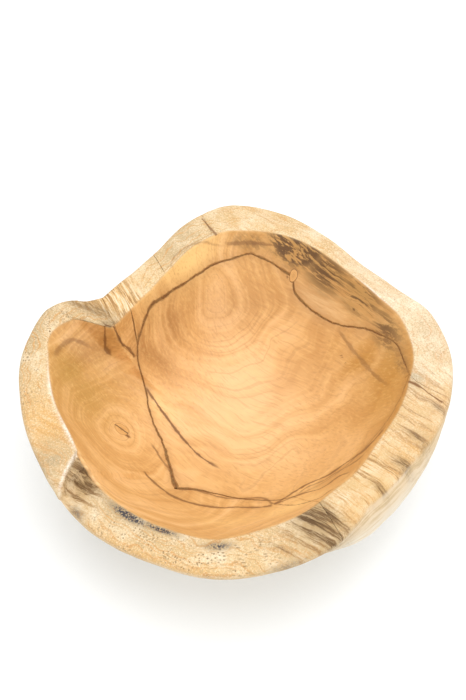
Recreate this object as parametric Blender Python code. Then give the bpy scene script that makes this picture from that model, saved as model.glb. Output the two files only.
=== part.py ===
"""A free-form bowl carved out of one root ball, as the pieces of wood and filler that it consists of.

The root ball is several roots that have grown against each other with bark shut in between them.
Carving it open leaves each root as its own body of wood, divided from the next by a seam:

  root_heart        the middle root: the flat foot, the floor and the right-hand wall
  root_back_wall    the root round the back, from the saddle to the right-hand seam
  root_front_lobe   the root round the front and left, which makes the big left lobe
  saddle_wedge      the thin root pinched between the two others at the saddle of the rim
  rim_patch         the block let into the rim, upper left, where the root had a fault
  seam_fill_*       the dark bark and resin that fills the wide seams
  knot_*            the stubs of two side roots, held in their tapered sockets

Metres, +Z up. The origin is the centre of the foot, on the surface that the bowl stands on.
A bearing is an angle round the bowl in degrees, from +X towards +Y.
"""

import math

import bmesh
import bpy
import numpy as np

# ---- Driving dimensions -------------------------------------------------------------------------

BOWL_WIDTH = 0.304          # over the rim, left to right (X)
BOWL_DEPTH = 0.307          # over the rim, front to back (Y)
BOWL_HEIGHT = 0.106         # foot to the highest stretch of the rim
FOOT_DIAMETER = 0.120       # the flat that was sawn for it to stand on
FLOOR_THICKNESS = 0.020     # wood under the middle of the hollow
RIM_WIDTH = 0.0245          # usual width of the flat rim
HOLLOW_POWER = 2.6          # how flat the floor stays before the wall turns up
WALL_POWER = 0.75           # under 1 makes the outer wall round out below the rim
OUTLINE_FADE = 3.0          # how soon the rim's lobes die out going down into the hollow
SOFT_ARC = 45               # half the arc, in degrees, that softens them

RIM_ROUND = 0.0045          # rounding of the rim's outer edge
RIM_CHAMFER = 0.0012        # narrow chamfer round the mouth

FIT_GAP = 0.0003            # room between two pieces that touch
LEFT_FILL = 0.0016          # thickness of each seam's filling
FRONT_FILL = 0.0014
BACK_FILL = 0.0010
FILL_FOOT_CLEARANCE = 0.003  # the fillings stop this far above the foot
FILL_END_CLEARANCE = 0.0022  # and this far short of the next seam or knot

PATCH_DEPTH = 0.022         # how far the block is let in, from the top of the rim
PATCH_LIP = 0.0025          # wood left between the block and the mouth

KNOT_BACK_DIAMETER = 0.0064
KNOT_LEFT_DIAMETER = 0.0100
KNOT_DEPTH = 0.014
KNOT_TAPER = 0.8            # diameter at the deep end over diameter at the surface

# ---- The outline of the rim ---------------------------------------------------------------------

# Station by station round the rim: bearing, reach from the origin to the outer edge, how much wider
# than RIM_WIDTH the rim is there, how far the mouth and the outer edge lie below the highest stretch
# of the rim, and how far the wall bellies out at half height. Millimetres, except for the bearing.
RIM_STATIONS = (
    (5, 155, 3.5, 2, 8, 4),
    (18, 152.5, 0.5, 2, 8, 0),
    (32, 140.5, -5.5, 2, 9, 0),
    (45, 136.5, -7.5, 2, 10, 0),
    (60, 141.5, -5, 1, 9, 0),
    (75, 149, 1, 0, 8, 0),
    (90, 152, 5.5, 0, 7, 0),
    (103, 140.5, 3, 0, 7, 0),
    (120, 120, -1.5, 2, 8, 0),
    (133, 115, -0.5, 4, 9, 0),
    (145, 116, 0.5, 6, 10, 0),
    (150, 123.5, 7.5, 6, 10, 0),
    (153.5, 137, 20, 6, 9, 0),
    (157.5, 143, 24, 5, 7, 0),
    (160, 145.5, 0, 2, 6, 0),
    (168, 147.5, -9.5, 2, 5, 0),
    (178, 149.5, -3.5, 0, 5, 0),
    (190, 148.5, -1.5, 0, 5, 0),
    (207, 148.5, 2.5, 0, 4, 0),
    (219, 150.5, 1.5, 0, 4, 0),
    (222, 151, 2, 7, 11, 0),
    (236, 152.5, 1, 6, 10, 0),
    (250, 152.5, 0, 5, 9, 0),
    (264, 155, 1, 4, 8, 0),
    (280, 152.7, 5, 3, 8, 0),
    (296, 148.5, 5.5, 2, 8, 12),
    (304, 142.5, 2.5, 2, 8, 21),
    (311, 138, -1.5, 2, 8, 27),
    (325, 139.3, 1.5, 2, 8, 27),
    (340, 147, 6, 2, 8, 22),
    (353, 152.3, 6.5, 2, 8, 14),
)
DRAWN_WIDTH = 0.3041        # the size over the rim that the stations and the seams are drawn at
DRAWN_DEPTH = 0.3067
SCALE_X = BOWL_WIDTH / DRAWN_WIDTH
SCALE_Y = BOWL_DEPTH / DRAWN_DEPTH
MM = 0.001

# Bearings at which the bowl's mesh has a section: closer together where the outline turns sharply.
BEARINGS = np.radians(
    np.concatenate(
        [
            np.arange(0, 140, 5),
            np.arange(140, 164, 2),
            np.arange(164, 216, 5),
            [217, 219, 220.5, 222, 225],
            np.arange(230, 360, 5),
        ]
    )
)

# ---- The seams, in plan -------------------------------------------------------------------------

# Each is a smooth curve through these points, in millimetres at the drawn size. Roots grow downward,
# so a seam goes straight down through the wood below its line.
SADDLE_CRACK = ((-101, 106), (-86, 76), (-74, 52.5))
LEFT_SEAM_TOP = ((-74, 52.5), (-72.3, 47.5), (-70.8, 42))
LEFT_SEAM_NECK = ((-70.8, 42), (-70.8, 36))
LEFT_SEAM = (
    (-70.8, 36), (-69.5, 30), (-66, 22), (-63, 8), (-59, -4), (-53, -16), (-48, -32), (-43, -52), (-40, -60),
)
FRONT_SEAM = ((-40, -60), (-27, -59), (-14, -61), (0, -66), (18, -71), (32, -76), (42, -77))
FRONT_CRACK = ((42, -77), (50, -91), (56, -104), (70, -129), (84, -154))
BACK_SEAM_NECK = ((-70.8, 42), (-69, 47), (-66.5, 52.5))
BACK_SEAM = (
    (-66.5, 52.5), (-61, 62), (-52, 72), (-40, 84), (-27, 96), (-12, 106), (9, 112), (22, 110),
    (33, 105), (46, 98),
)
RIGHT_SEAM = (
    (46, 98), (47, 90), (54, 82), (64, 73), (77, 62), (92, 53), (105, 43), (117, 28), (121, 12), (122.5, -5),
)
RIGHT_CRACK = ((122.5, -5), (129, -13), (149, -24), (178, -39))
WEDGE_CRACK = ((-112, 96), (-97, 66), (-85, 39), (-79, 34.5), (-70.8, 36))

# Points well outside the bowl that close each region round its own stretch of the rim.
OUTSIDE_BACK = ((205, 0), (205, 205), (-80, 205))
OUTSIDE_FRONT = ((90, -205), (-205, -205), (-205, 150), (-150, 150))
OUTSIDE_RIGHT = ((140, -190), (210, -120))
OUTSIDE_SADDLE = ((-108, 108),)

PATCH_BEARINGS = (97.5, 104, 111, 117, 121)   # along the block's inner face
PATCH_OUTSIDE = ((-73, 130), (-33, 165))      # past the outer edge of the rim
KNOT_BACK_PLACE = (46, 98)
KNOT_LEFT_PLACE = (-81, -18)

SEAM_STEP = 0.007           # length of a facet along a seam
STRAIGHT_ON = 0.8           # cosine of the sharpest turn that still counts as running straight on
OVER = 0.02                 # how far a cutter goes past what it cuts


def at_size(points):
    """Plan points at the drawn size, in millimetres, as plan points of this bowl, in metres."""
    return np.array(points, float) * MM * (SCALE_X, SCALE_Y)


def round_the_rim(column, bearings):
    """A column of RIM_STATIONS at any bearings (radians), in metres.

    It is a closed cubic through the stations whose slope at a station is the harmonic mean of the
    slopes on its two sides, and level where the value turns, so that it never overshoots.
    """
    stations = np.array(RIM_STATIONS, float)
    last, first = stations[-2:].copy(), stations[:2].copy()
    last[:, 0] -= 360
    first[:, 0] += 360
    table = np.vstack([last, stations, first])
    place, value = table[:, 0], table[:, column] * MM
    step = np.diff(place)
    slope = np.diff(value) / step
    before, after = slope[:-1], slope[1:]
    turning = before * after <= 0
    safe_before = np.where(turning, 1.0, before)
    safe_after = np.where(turning, 1.0, after)
    tangent = np.zeros(len(place))
    tangent[1:-1] = np.where(turning, 0.0, 2 / (1 / safe_before + 1 / safe_after))
    angle = np.mod(np.degrees(bearings) - place[1], 360) + place[1]
    k = np.searchsorted(place, angle, side="right") - 1
    t = (angle - place[k]) / step[k]
    return (
        (2 * t**3 - 3 * t**2 + 1) * value[k]
        + (t**3 - 2 * t**2 + t) * step[k] * tangent[k]
        + (3 * t**2 - 2 * t**3) * value[k + 1]
        + (t**3 - t**2) * step[k] * tangent[k + 1]
    )


def stretch(bearings):
    """How much longer a reach along each bearing is than at the drawn size."""
    return np.hypot(SCALE_X * np.cos(bearings), SCALE_Y * np.sin(bearings))


def outer_reach(bearings):
    return round_the_rim(1, bearings) * stretch(bearings)


def mouth_reach(bearings):
    return outer_reach(bearings) - RIM_WIDTH - round_the_rim(2, bearings)


def mouth_height(bearings):
    return BOWL_HEIGHT - round_the_rim(3, bearings)


def edge_height(bearings):
    return BOWL_HEIGHT - round_the_rim(4, bearings)


def softened(reach, bearings):
    """A reach averaged over the arc round each bearing, with the most weight in the middle of the arc."""
    aside = np.radians(np.arange(-SOFT_ARC, SOFT_ARC + 1, SOFT_ARC / 6))
    weight = np.cos(aside * 90 / SOFT_ARC)
    return sum(reach(bearings + a) * w for a, w in zip(aside, weight)) / weight.sum()


def hollow_reach(bearings, share):
    """Reach of the hollow's level lines: the mouth's outline at share 1, softened towards the floor."""
    soft = softened(mouth_reach, bearings)
    return share * (soft + (mouth_reach(bearings) - soft) * share**OUTLINE_FADE)


def hollow_height(x, y):
    """Height of the hollow's surface over a point in plan: floor + (mouth - floor) * share ** power."""
    bearing = np.arctan2(y, x)
    share = np.hypot(x, y) / mouth_reach(bearing)
    for _ in range(12):
        share = np.hypot(x, y) * share / hollow_reach(bearing, share)
    return FLOOR_THICKNESS + (mouth_height(bearing) - FLOOR_THICKNESS) * share**HOLLOW_POWER


def sections():
    """(reach, height) of every ring of the bowl's skin, from the middle of the hollow to the foot."""
    mouth, mouth_z = mouth_reach(BEARINGS), mouth_height(BEARINGS)
    edge, edge_z = outer_reach(BEARINGS), edge_height(BEARINGS)
    belly = round_the_rim(5, BEARINGS)
    soft_edge = softened(outer_reach, BEARINGS)
    foot = FOOT_DIAMETER / 2
    rings = []
    for share in (0.22, 0.42, 0.58, 0.72, 0.83, 0.92, 0.985):
        height = FLOOR_THICKNESS + (mouth_z - FLOOR_THICKNESS) * share**HOLLOW_POWER
        rings.append((hollow_reach(BEARINGS, share), height))
    rings.append((mouth + RIM_CHAMFER, mouth_z))
    shoulder, shoulder_z = edge - RIM_ROUND, edge_z + RIM_ROUND
    rings.append(((mouth + shoulder) / 2, (mouth_z + shoulder_z) / 2 + RIM_CHAMFER / 2))
    rings.append((shoulder, shoulder_z))
    rings.append((edge - 0.3 * RIM_ROUND, edge_z + 0.6 * RIM_ROUND))
    for share in (1.0, 0.9, 0.78, 0.64, 0.5, 0.36, 0.22, 0.1, 0.0):
        wall = soft_edge + (edge - soft_edge) * share
        reach = foot + (wall - foot) * share**WALL_POWER + belly * 4 * share * (1 - share)
        rings.append((reach, edge_z * share))
    return rings


def new_object(name, mesh):
    made = bpy.data.objects.new(name, mesh)
    bpy.context.scene.collection.objects.link(made)
    return made


def mesh_of(name, points, faces):
    """A mesh of these faces, with its normals turned outwards."""
    mesh = bpy.data.meshes.new(name)
    mesh.from_pydata([tuple(map(float, point)) for point in points], [], faces)
    shape = bmesh.new()
    shape.from_mesh(mesh)
    bmesh.ops.recalc_face_normals(shape, faces=shape.faces)
    shape.to_mesh(mesh)
    shape.free()
    return mesh


def bowl_mesh():
    """The whole carved bowl as one closed skin: a pole in the hollow, rings of sections, a pole below."""
    rings = sections()
    count = len(BEARINGS)
    points = [(0.0, 0.0, FLOOR_THICKNESS)]
    for reach, height in rings:
        points += zip(reach * np.cos(BEARINGS), reach * np.sin(BEARINGS), height)
    points.append((0.0, 0.0, 0.0))
    bottom = len(points) - 1
    faces = []
    for i in range(count):
        j = (i + 1) % count
        faces.append((0, 1 + i, 1 + j))
        for ring in range(len(rings) - 1):
            low, high = 1 + ring * count, 1 + (ring + 1) * count
            faces.append((low + i, high + i, high + j, low + j))
        last = bottom - count
        faces.append((last + i, bottom, last + j))
    return mesh_of("bowl", points, faces)


def smooth(points):
    """Plan points along a Catmull-Rom curve through these, about SEAM_STEP apart."""
    ends = [2 * points[0] - points[1], *points, 2 * points[-1] - points[-2]]
    path = []
    for a, b, c, d in zip(ends, ends[1:], ends[2:], ends[3:]):
        steps = max(1, round(float(np.linalg.norm(c - b)) / SEAM_STEP))
        for t in np.arange(steps) / steps:
            path.append(
                0.5 * (2 * b + (c - a) * t + (2 * a - 5 * b + 4 * c - d) * t**2 + (3 * b - a - 3 * c + d) * t**3)
            )
    return np.array([*path, points[-1]])


def seam(points):
    return smooth(at_size(points))


def prism(name, outline, low, high):
    """A cutter: a closed plan outline carried straight up from one height to another."""
    count = len(outline)
    points = [(x, y, low) for x, y in outline] + [(x, y, high) for x, y in outline]
    faces = [tuple(range(count)), tuple(range(count, 2 * count))]
    faces += [(i, (i + 1) % count, count + (i + 1) % count, count + i) for i in range(count)]
    return hide(new_object(name, mesh_of(name, points, faces)))


def hide(guide):
    guide.hide_render = True
    guide.display_type = "WIRE"
    return guide


def inset(outline, distances):
    """The closed outline with each edge moved inwards by its own distance.

    A corner moves to where its two moved edges cross. Where the line runs nearly straight on but the
    distance changes, the two edges are joined by a small square step instead.
    """
    area = np.cross(outline, np.roll(outline, -1, 0)).sum()
    side = 1.0 if area > 0 else -1.0
    edges = np.roll(outline, -1, 0) - outline
    edges /= np.linalg.norm(edges, axis=1)[:, None]
    inward = side * np.column_stack([-edges[:, 1], edges[:, 0]])
    moved = []
    for i, corner in enumerate(outline):
        pair = np.array([inward[i - 1], inward[i]])
        rooms = np.array([distances[i - 1], distances[i]])
        if pair[0] @ pair[1] < STRAIGHT_ON or rooms[0] == rooms[1]:
            moved.append(corner + np.linalg.lstsq(pair, rooms, rcond=0.01)[0])
        else:
            middle = pair.sum(0) / np.linalg.norm(pair.sum(0))
            moved += [corner + middle * rooms[0], corner + middle * rooms[1]]
    return np.array(moved)


def region(name, stretches):
    """The prism of one root: each stretch of its boundary is (plan points, room to leave beside it)."""
    outline, distances = [], []
    for points, room in stretches:
        outline += list(points[:-1])
        distances += [room] * (len(points) - 1)
    return prism(name, inset(np.array(outline), distances), -OVER, BOWL_HEIGHT + OVER)


def along(points, start, end):
    """The stretch of a plan path that begins start along it and stops end short of its far end."""
    steps = np.linalg.norm(np.diff(points, axis=0), axis=1)
    place = np.concatenate([[0], np.cumsum(steps)])
    keep = place[(place > start + 0.001) & (place < place[-1] - end - 0.001)]
    keep = np.concatenate([[start], keep, [place[-1] - end]])
    return np.column_stack([np.interp(keep, place, points[:, axis]) for axis in (0, 1)])


def curtain(name, path, thickness):
    """The prism of a seam's filling: the path with half the thickness on each side."""
    heading = np.gradient(path, axis=0)
    heading /= np.linalg.norm(heading, axis=1)[:, None]
    aside = np.column_stack([-heading[:, 1], heading[:, 0]]) * thickness / 2
    outline = np.concatenate([path + aside, (path - aside)[::-1]])
    return prism(name, outline, FILL_FOOT_CLEARANCE, BOWL_HEIGHT + OVER)


def material(name, colour, roughness):
    made = bpy.data.materials.new(name)
    made.use_nodes = True
    shader = made.node_tree.nodes["Principled BSDF"]
    shader.inputs["Base Color"].default_value = (*colour, 1.0)
    shader.inputs["Roughness"].default_value = roughness
    shader.inputs["Metallic"].default_value = 0.0
    return made


def cut(piece, cutter, operation):
    modifier = piece.modifiers.new(f"{operation.lower()} {cutter.name}", "BOOLEAN")
    modifier.operation = operation
    modifier.object = cutter
    modifier.solver = "EXACT"


def piece_of(name, shape, keep, colour, roughness, sockets=()):
    """One named piece: the part of a shape inside a guide, less the sockets for other pieces."""
    made = new_object(name, shape.copy())
    made.data.materials.append(material(f"{name}_finish", colour, roughness))
    cut(made, keep, "INTERSECT")
    for socket in sockets:
        cut(made, socket, "DIFFERENCE")
    return made


def knot_cone(name, place, diameter, room):
    """A tapered stub square to the hollow's surface at a place in plan, with room left all round."""
    x, y = at_size(place)
    reach = 0.001
    slope_x = (hollow_height(x + reach, y) - hollow_height(x - reach, y)) / (2 * reach)
    slope_y = (hollow_height(x, y + reach) - hollow_height(x, y - reach)) / (2 * reach)
    axis = np.array([-slope_x, -slope_y, 1.0])
    axis /= np.linalg.norm(axis)
    side = np.cross(axis, (0.0, 0.0, 1.0))
    side /= np.linalg.norm(side)
    up = np.cross(axis, side)
    surface = np.array([x, y, float(hollow_height(x, y))])
    narrowing = (1 - KNOT_TAPER) * diameter / 2 / KNOT_DEPTH
    points = []
    for depth in (-KNOT_DEPTH / 2, KNOT_DEPTH + room):
        radius = diameter / 2 - narrowing * depth + room
        for turn in np.arange(16) * math.tau / 16:
            points.append(surface - axis * depth + radius * (side * math.cos(turn) + up * math.sin(turn)))
    faces = [tuple(range(16)), tuple(range(16, 32))]
    faces += [(i, (i + 1) % 16, 16 + (i + 1) % 16, 16 + i) for i in range(16)]
    return mesh_of(name, points, faces)


def clear_scene():
    for old in list(bpy.data.objects):
        bpy.data.objects.remove(old)


def build():
    clear_scene()
    bowl = bowl_mesh()
    bowl_guide = hide(new_object("whole_bowl_guide", bowl))

    saddle, left_top, left_neck = seam(SADDLE_CRACK), seam(LEFT_SEAM_TOP), seam(LEFT_SEAM_NECK)
    left, front, front_crack = seam(LEFT_SEAM), seam(FRONT_SEAM), seam(FRONT_CRACK)
    back_neck, back, right = seam(BACK_SEAM_NECK), seam(BACK_SEAM), seam(RIGHT_SEAM)
    right_crack, wedge = seam(RIGHT_CRACK), seam(WEDGE_CRACK)

    hairline = FIT_GAP / 2
    beside_left = LEFT_FILL / 2 + FIT_GAP
    beside_front = FRONT_FILL / 2 + FIT_GAP
    beside_back = BACK_FILL / 2 + FIT_GAP
    beside_both = max(beside_left, beside_back)

    def outside(first, points, last):
        """A boundary well clear of the bowl, from the end of one crack to the start of the next."""
        return np.array([first, *at_size(points), last])

    heart_region = region(
        "root_heart_region",
        [
            (left_neck, beside_left),
            (left, beside_left),
            (front, beside_front),
            (front_crack, hairline),
            (outside(front_crack[-1], OUTSIDE_RIGHT, right_crack[-1]), 0.0),
            (right_crack[::-1], hairline),
            (right[::-1], beside_back),
            (back[::-1], beside_back),
            (back_neck[::-1], beside_both),
        ],
    )
    back_region = region(
        "root_back_wall_region",
        [
            (back_neck, beside_both),
            (back, beside_back),
            (right, beside_back),
            (right_crack, hairline),
            (outside(right_crack[-1], OUTSIDE_BACK, saddle[0]), 0.0),
            (saddle, hairline),
            (left_top, beside_left),
        ],
    )
    front_region = region(
        "root_front_lobe_region",
        [
            (wedge, hairline),
            (left, beside_left),
            (front, beside_front),
            (front_crack, hairline),
            (outside(front_crack[-1], OUTSIDE_FRONT, wedge[0]), 0.0),
        ],
    )
    wedge_region = region(
        "saddle_wedge_region",
        [
            (saddle, hairline),
            (left_top, beside_left),
            (left_neck, beside_left),
            (wedge[::-1], hairline),
            (outside(wedge[0], OUTSIDE_SADDLE, saddle[0]), 0.0),
        ],
    )

    patch_bearings = np.radians(PATCH_BEARINGS)
    patch_inner = mouth_reach(patch_bearings) + PATCH_LIP
    patch_face = np.column_stack([patch_inner * np.cos(patch_bearings), patch_inner * np.sin(patch_bearings)])
    patch_outline = np.concatenate([patch_face, at_size(PATCH_OUTSIDE)])
    patch_bed = BOWL_HEIGHT - PATCH_DEPTH
    patch_top = BOWL_HEIGHT + OVER
    patch_pocket = prism("rim_patch_pocket", patch_outline, patch_bed, patch_top)
    patch_outline = inset(patch_outline, [FIT_GAP] * len(patch_outline))
    patch_keep = prism("rim_patch_guide", patch_outline, patch_bed + FIT_GAP, patch_top)

    knot_sockets = {}
    for name, place, diameter in (
        ("knot_back", KNOT_BACK_PLACE, KNOT_BACK_DIAMETER),
        ("knot_left", KNOT_LEFT_PLACE, KNOT_LEFT_DIAMETER),
    ):
        socket_mesh = knot_cone(f"{name}_socket", place, diameter, FIT_GAP)
        knot_sockets[name] = hide(new_object(f"{name}_socket", socket_mesh))
        piece_of(name, knot_cone(name, place, diameter, 0.0), bowl_guide, (0.30, 0.15, 0.06), 0.5)

    piece_of("root_heart", bowl, heart_region, (0.80, 0.50, 0.25), 0.42, [knot_sockets["knot_back"]])
    piece_of(
        "root_back_wall", bowl, back_region, (0.62, 0.42, 0.22), 0.45, [patch_pocket, knot_sockets["knot_back"]]
    )
    piece_of("root_front_lobe", bowl, front_region, (0.74, 0.48, 0.22), 0.45, [knot_sockets["knot_left"]])
    piece_of("saddle_wedge", bowl, wedge_region, (0.66, 0.46, 0.25), 0.55)
    piece_of("rim_patch", bowl, patch_keep, (0.70, 0.58, 0.42), 0.7)

    past_knot = KNOT_BACK_DIAMETER / 2 + FIT_GAP + FILL_END_CLEARANCE
    past_left_fill = LEFT_FILL + 2 * FILL_END_CLEARANCE
    left_line = np.concatenate([left_top[:-1], left_neck[:-1], left])
    back_line = np.concatenate([back_neck[:-1], back])
    fillings = (
        ("seam_fill_left", along(left_line, FILL_END_CLEARANCE, FILL_END_CLEARANCE), LEFT_FILL),
        ("seam_fill_front", along(front, FILL_END_CLEARANCE, FILL_END_CLEARANCE), FRONT_FILL),
        ("seam_fill_back", along(back_line, past_left_fill, past_knot), BACK_FILL),
        ("seam_fill_right", along(right, past_knot, FILL_END_CLEARANCE), BACK_FILL),
    )
    for name, path, thickness in fillings:
        piece_of(name, bowl, curtain(f"{name}_guide", path, thickness), (0.10, 0.05, 0.025), 0.6)


build()
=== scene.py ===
# %% [markdown]
# # A free-form bowl carved out of a root ball
#
# A root ball is several roots that have grown against each other. When a carver opens it, each root
# is its own body of wood, and where two of them meet there is a seam of dark bark and resin. The
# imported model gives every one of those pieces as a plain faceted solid. This file builds the
# carved, sanded and weathered surface of each of them in the same place, and then its wood.

# %% Load the fixed frame
import math

import bpy
import numpy as np
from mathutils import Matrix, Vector


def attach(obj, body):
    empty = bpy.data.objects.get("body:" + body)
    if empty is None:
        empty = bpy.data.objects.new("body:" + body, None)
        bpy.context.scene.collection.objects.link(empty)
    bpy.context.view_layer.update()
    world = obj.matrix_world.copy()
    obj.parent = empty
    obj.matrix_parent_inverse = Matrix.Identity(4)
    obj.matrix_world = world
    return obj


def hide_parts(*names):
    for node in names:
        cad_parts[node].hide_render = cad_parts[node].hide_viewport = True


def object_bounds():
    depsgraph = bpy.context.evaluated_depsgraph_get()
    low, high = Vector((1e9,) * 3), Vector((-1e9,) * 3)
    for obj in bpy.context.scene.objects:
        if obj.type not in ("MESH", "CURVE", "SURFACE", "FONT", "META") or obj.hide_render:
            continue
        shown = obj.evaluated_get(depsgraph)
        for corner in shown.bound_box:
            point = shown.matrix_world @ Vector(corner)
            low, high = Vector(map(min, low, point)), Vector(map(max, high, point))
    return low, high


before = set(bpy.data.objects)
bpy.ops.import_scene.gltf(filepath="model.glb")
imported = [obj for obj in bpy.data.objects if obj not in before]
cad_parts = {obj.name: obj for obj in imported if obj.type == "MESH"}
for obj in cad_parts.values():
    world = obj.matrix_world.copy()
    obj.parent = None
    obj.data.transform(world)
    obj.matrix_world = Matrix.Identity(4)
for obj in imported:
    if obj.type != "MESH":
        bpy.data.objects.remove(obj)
cad_low, cad_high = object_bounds()
cad_size = np.array(cad_high - cad_low)
print("pieces in the frame:", sorted(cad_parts))
print("size of the frame in mm:", np.round(cad_size * 1000, 1))

# %% [markdown]
# ## The outline of the rim
#
# The rim isn't round: it swings out into lobes, and pinches in at a saddle. A bearing is an angle
# round the bowl, from +X towards +Y. At each station the table gives the reach to the outer edge, how
# much wider than usual the rim is, how far the mouth and the outer edge lie below the highest stretch
# of the rim, and how far the wall bellies out. A turned profile could not follow this, so every size
# of the bowl is a smooth function of the bearing, and the surface is worked out from those functions.

# %% Stations round the rim, and the sizes that the frame sets
MM = 0.001
DRAWN_SIZE = np.array([0.3039, 0.3065, 0.1068])   # what the stations and seams below are drawn at
SCALE = cad_size / DRAWN_SIZE
RIM_HEIGHT = 0.106 * SCALE[2]
FLOOR_HEIGHT = 0.020 * SCALE[2]
FOOT_REACH = 0.060
RIM_WIDTH = 24.5
HOLLOW_POWER = 2.6
WALL_POWER = 0.75
OUTLINE_FADE = 3.0
SOFT_ARC = 45
EDGE_ROUND = 0.0045
MOUTH_ROUND = 0.0013
MOUTH_SHARE = 0.993
RIM_CROWN = 0.0006

RIM_STATIONS = np.array(
    [  # bearing, reach, extra rim width, drop of the mouth, drop of the edge, belly
        (5, 155, 3.5, 2, 8, 4), (18, 152.5, 0.5, 2, 8, 0), (32, 140.5, -5.5, 2, 9, 0),
        (45, 136.5, -7.5, 2, 10, 0), (60, 141.5, -5, 1, 9, 0), (75, 149, 1, 0, 8, 0),
        (90, 152, 5.5, 0, 7, 0), (103, 140.5, 3, 0, 7, 0), (120, 120, -1.5, 2, 8, 0),
        (133, 115, -0.5, 4, 9, 0), (145, 116, 0.5, 6, 10, 0), (150, 123.5, 7.5, 6, 10, 0),
        (153.5, 137, 20, 6, 9, 0), (157.5, 143, 24, 5, 7, 0), (160, 145.5, 0, 2, 6, 0),
        (168, 147.5, -9.5, 2, 5, 0), (178, 149.5, -3.5, 0, 5, 0), (190, 148.5, -1.5, 0, 5, 0),
        (207, 148.5, 2.5, 0, 4, 0), (219, 150.5, 1.5, 0, 4, 0), (222, 151, 2, 7, 11, 0),
        (236, 152.5, 1, 6, 10, 0), (250, 152.5, 0, 5, 9, 0), (264, 155, 1, 4, 8, 0),
        (280, 152.7, 5, 3, 8, 0), (296, 148.5, 5.5, 2, 8, 12), (304, 142.5, 2.5, 2, 8, 21),
        (311, 138, -1.5, 2, 8, 27), (325, 139.3, 1.5, 2, 8, 27), (340, 147, 6, 2, 8, 22),
        (353, 152.3, 6.5, 2, 8, 14),
    ],
    float,
)


def round_the_rim(column, degrees):
    """A column of the stations at any bearings: a closed cubic whose slope at a station is the
    harmonic mean of the slopes on its two sides, and level where the value turns."""
    table = np.vstack([RIM_STATIONS[-2:], RIM_STATIONS, RIM_STATIONS[:2]])
    place, value = table[:, 0].copy(), table[:, column]
    place[:2] -= 360
    place[-2:] += 360
    step = np.diff(place)
    slope = np.diff(value) / step
    before, after = slope[:-1], slope[1:]
    turning = before * after <= 0
    mean = 2 / (1 / np.where(turning, 1, before) + 1 / np.where(turning, 1, after))
    tangent = np.concatenate([[0], np.where(turning, 0, mean), [0]])
    angle = np.mod(degrees - place[1], 360) + place[1]
    k = np.searchsorted(place, angle, side="right") - 1
    t = (angle - place[k]) / step[k]
    from_start = (2 * t**3 - 3 * t**2 + 1) * value[k] + (t**3 - 2 * t**2 + t) * step[k] * tangent[k]
    to_end = (3 * t**2 - 2 * t**3) * value[k + 1] + (t**3 - t**2) * step[k] * tangent[k + 1]
    return from_start + to_end


def softened(values):
    """A closed row of values averaged over the arc round each one, most weight in the middle."""
    per_degree = len(values) / 360
    aside = np.arange(-SOFT_ARC, SOFT_ARC + 1, 7.5)
    weight = np.cos(np.radians(aside * 90 / SOFT_ARC))
    turned = [np.roll(values, -int(round(a * per_degree))) * w for a, w in zip(aside, weight)]
    return sum(turned) / weight.sum()


ROUND = np.arange(0, 360, 0.1)
STRETCH = MM * np.hypot(SCALE[0] * np.cos(np.radians(ROUND)), SCALE[1] * np.sin(np.radians(ROUND)))
EDGE = round_the_rim(1, ROUND) * STRETCH
MOUTH = EDGE - (RIM_WIDTH + round_the_rim(2, ROUND)) * MM
OUTLINE = {
    "edge": EDGE,
    "mouth": MOUTH,
    "soft_edge": softened(EDGE),
    "soft_mouth": softened(MOUTH),
    "mouth_height": RIM_HEIGHT - round_the_rim(3, ROUND) * MM,
    "edge_height": RIM_HEIGHT - round_the_rim(4, ROUND) * MM,
    "belly": round_the_rim(5, ROUND) * MM,
}


def outline(name, degrees):
    return np.interp(np.mod(degrees, 360), ROUND, OUTLINE[name], period=360)


print("widest reach of the rim in mm:", round(EDGE.max() * 1000, 1))

# %% [markdown]
# ## One skin for the whole bowl
#
# Every piece of the bowl shows a part of one carved surface, so the surface is a single function of
# two parameters, the bearing and a place along the section: 0 to 1 up the hollow, to 2 over the
# rounded mouth, to 3 across the rim, to 4 round its outer edge, to 5 down the outside and to 6 under
# the foot. Neighbours that ask for the same point get the same answer, so they meet exactly.

# %% The ideal skin, before any tool marks


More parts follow.
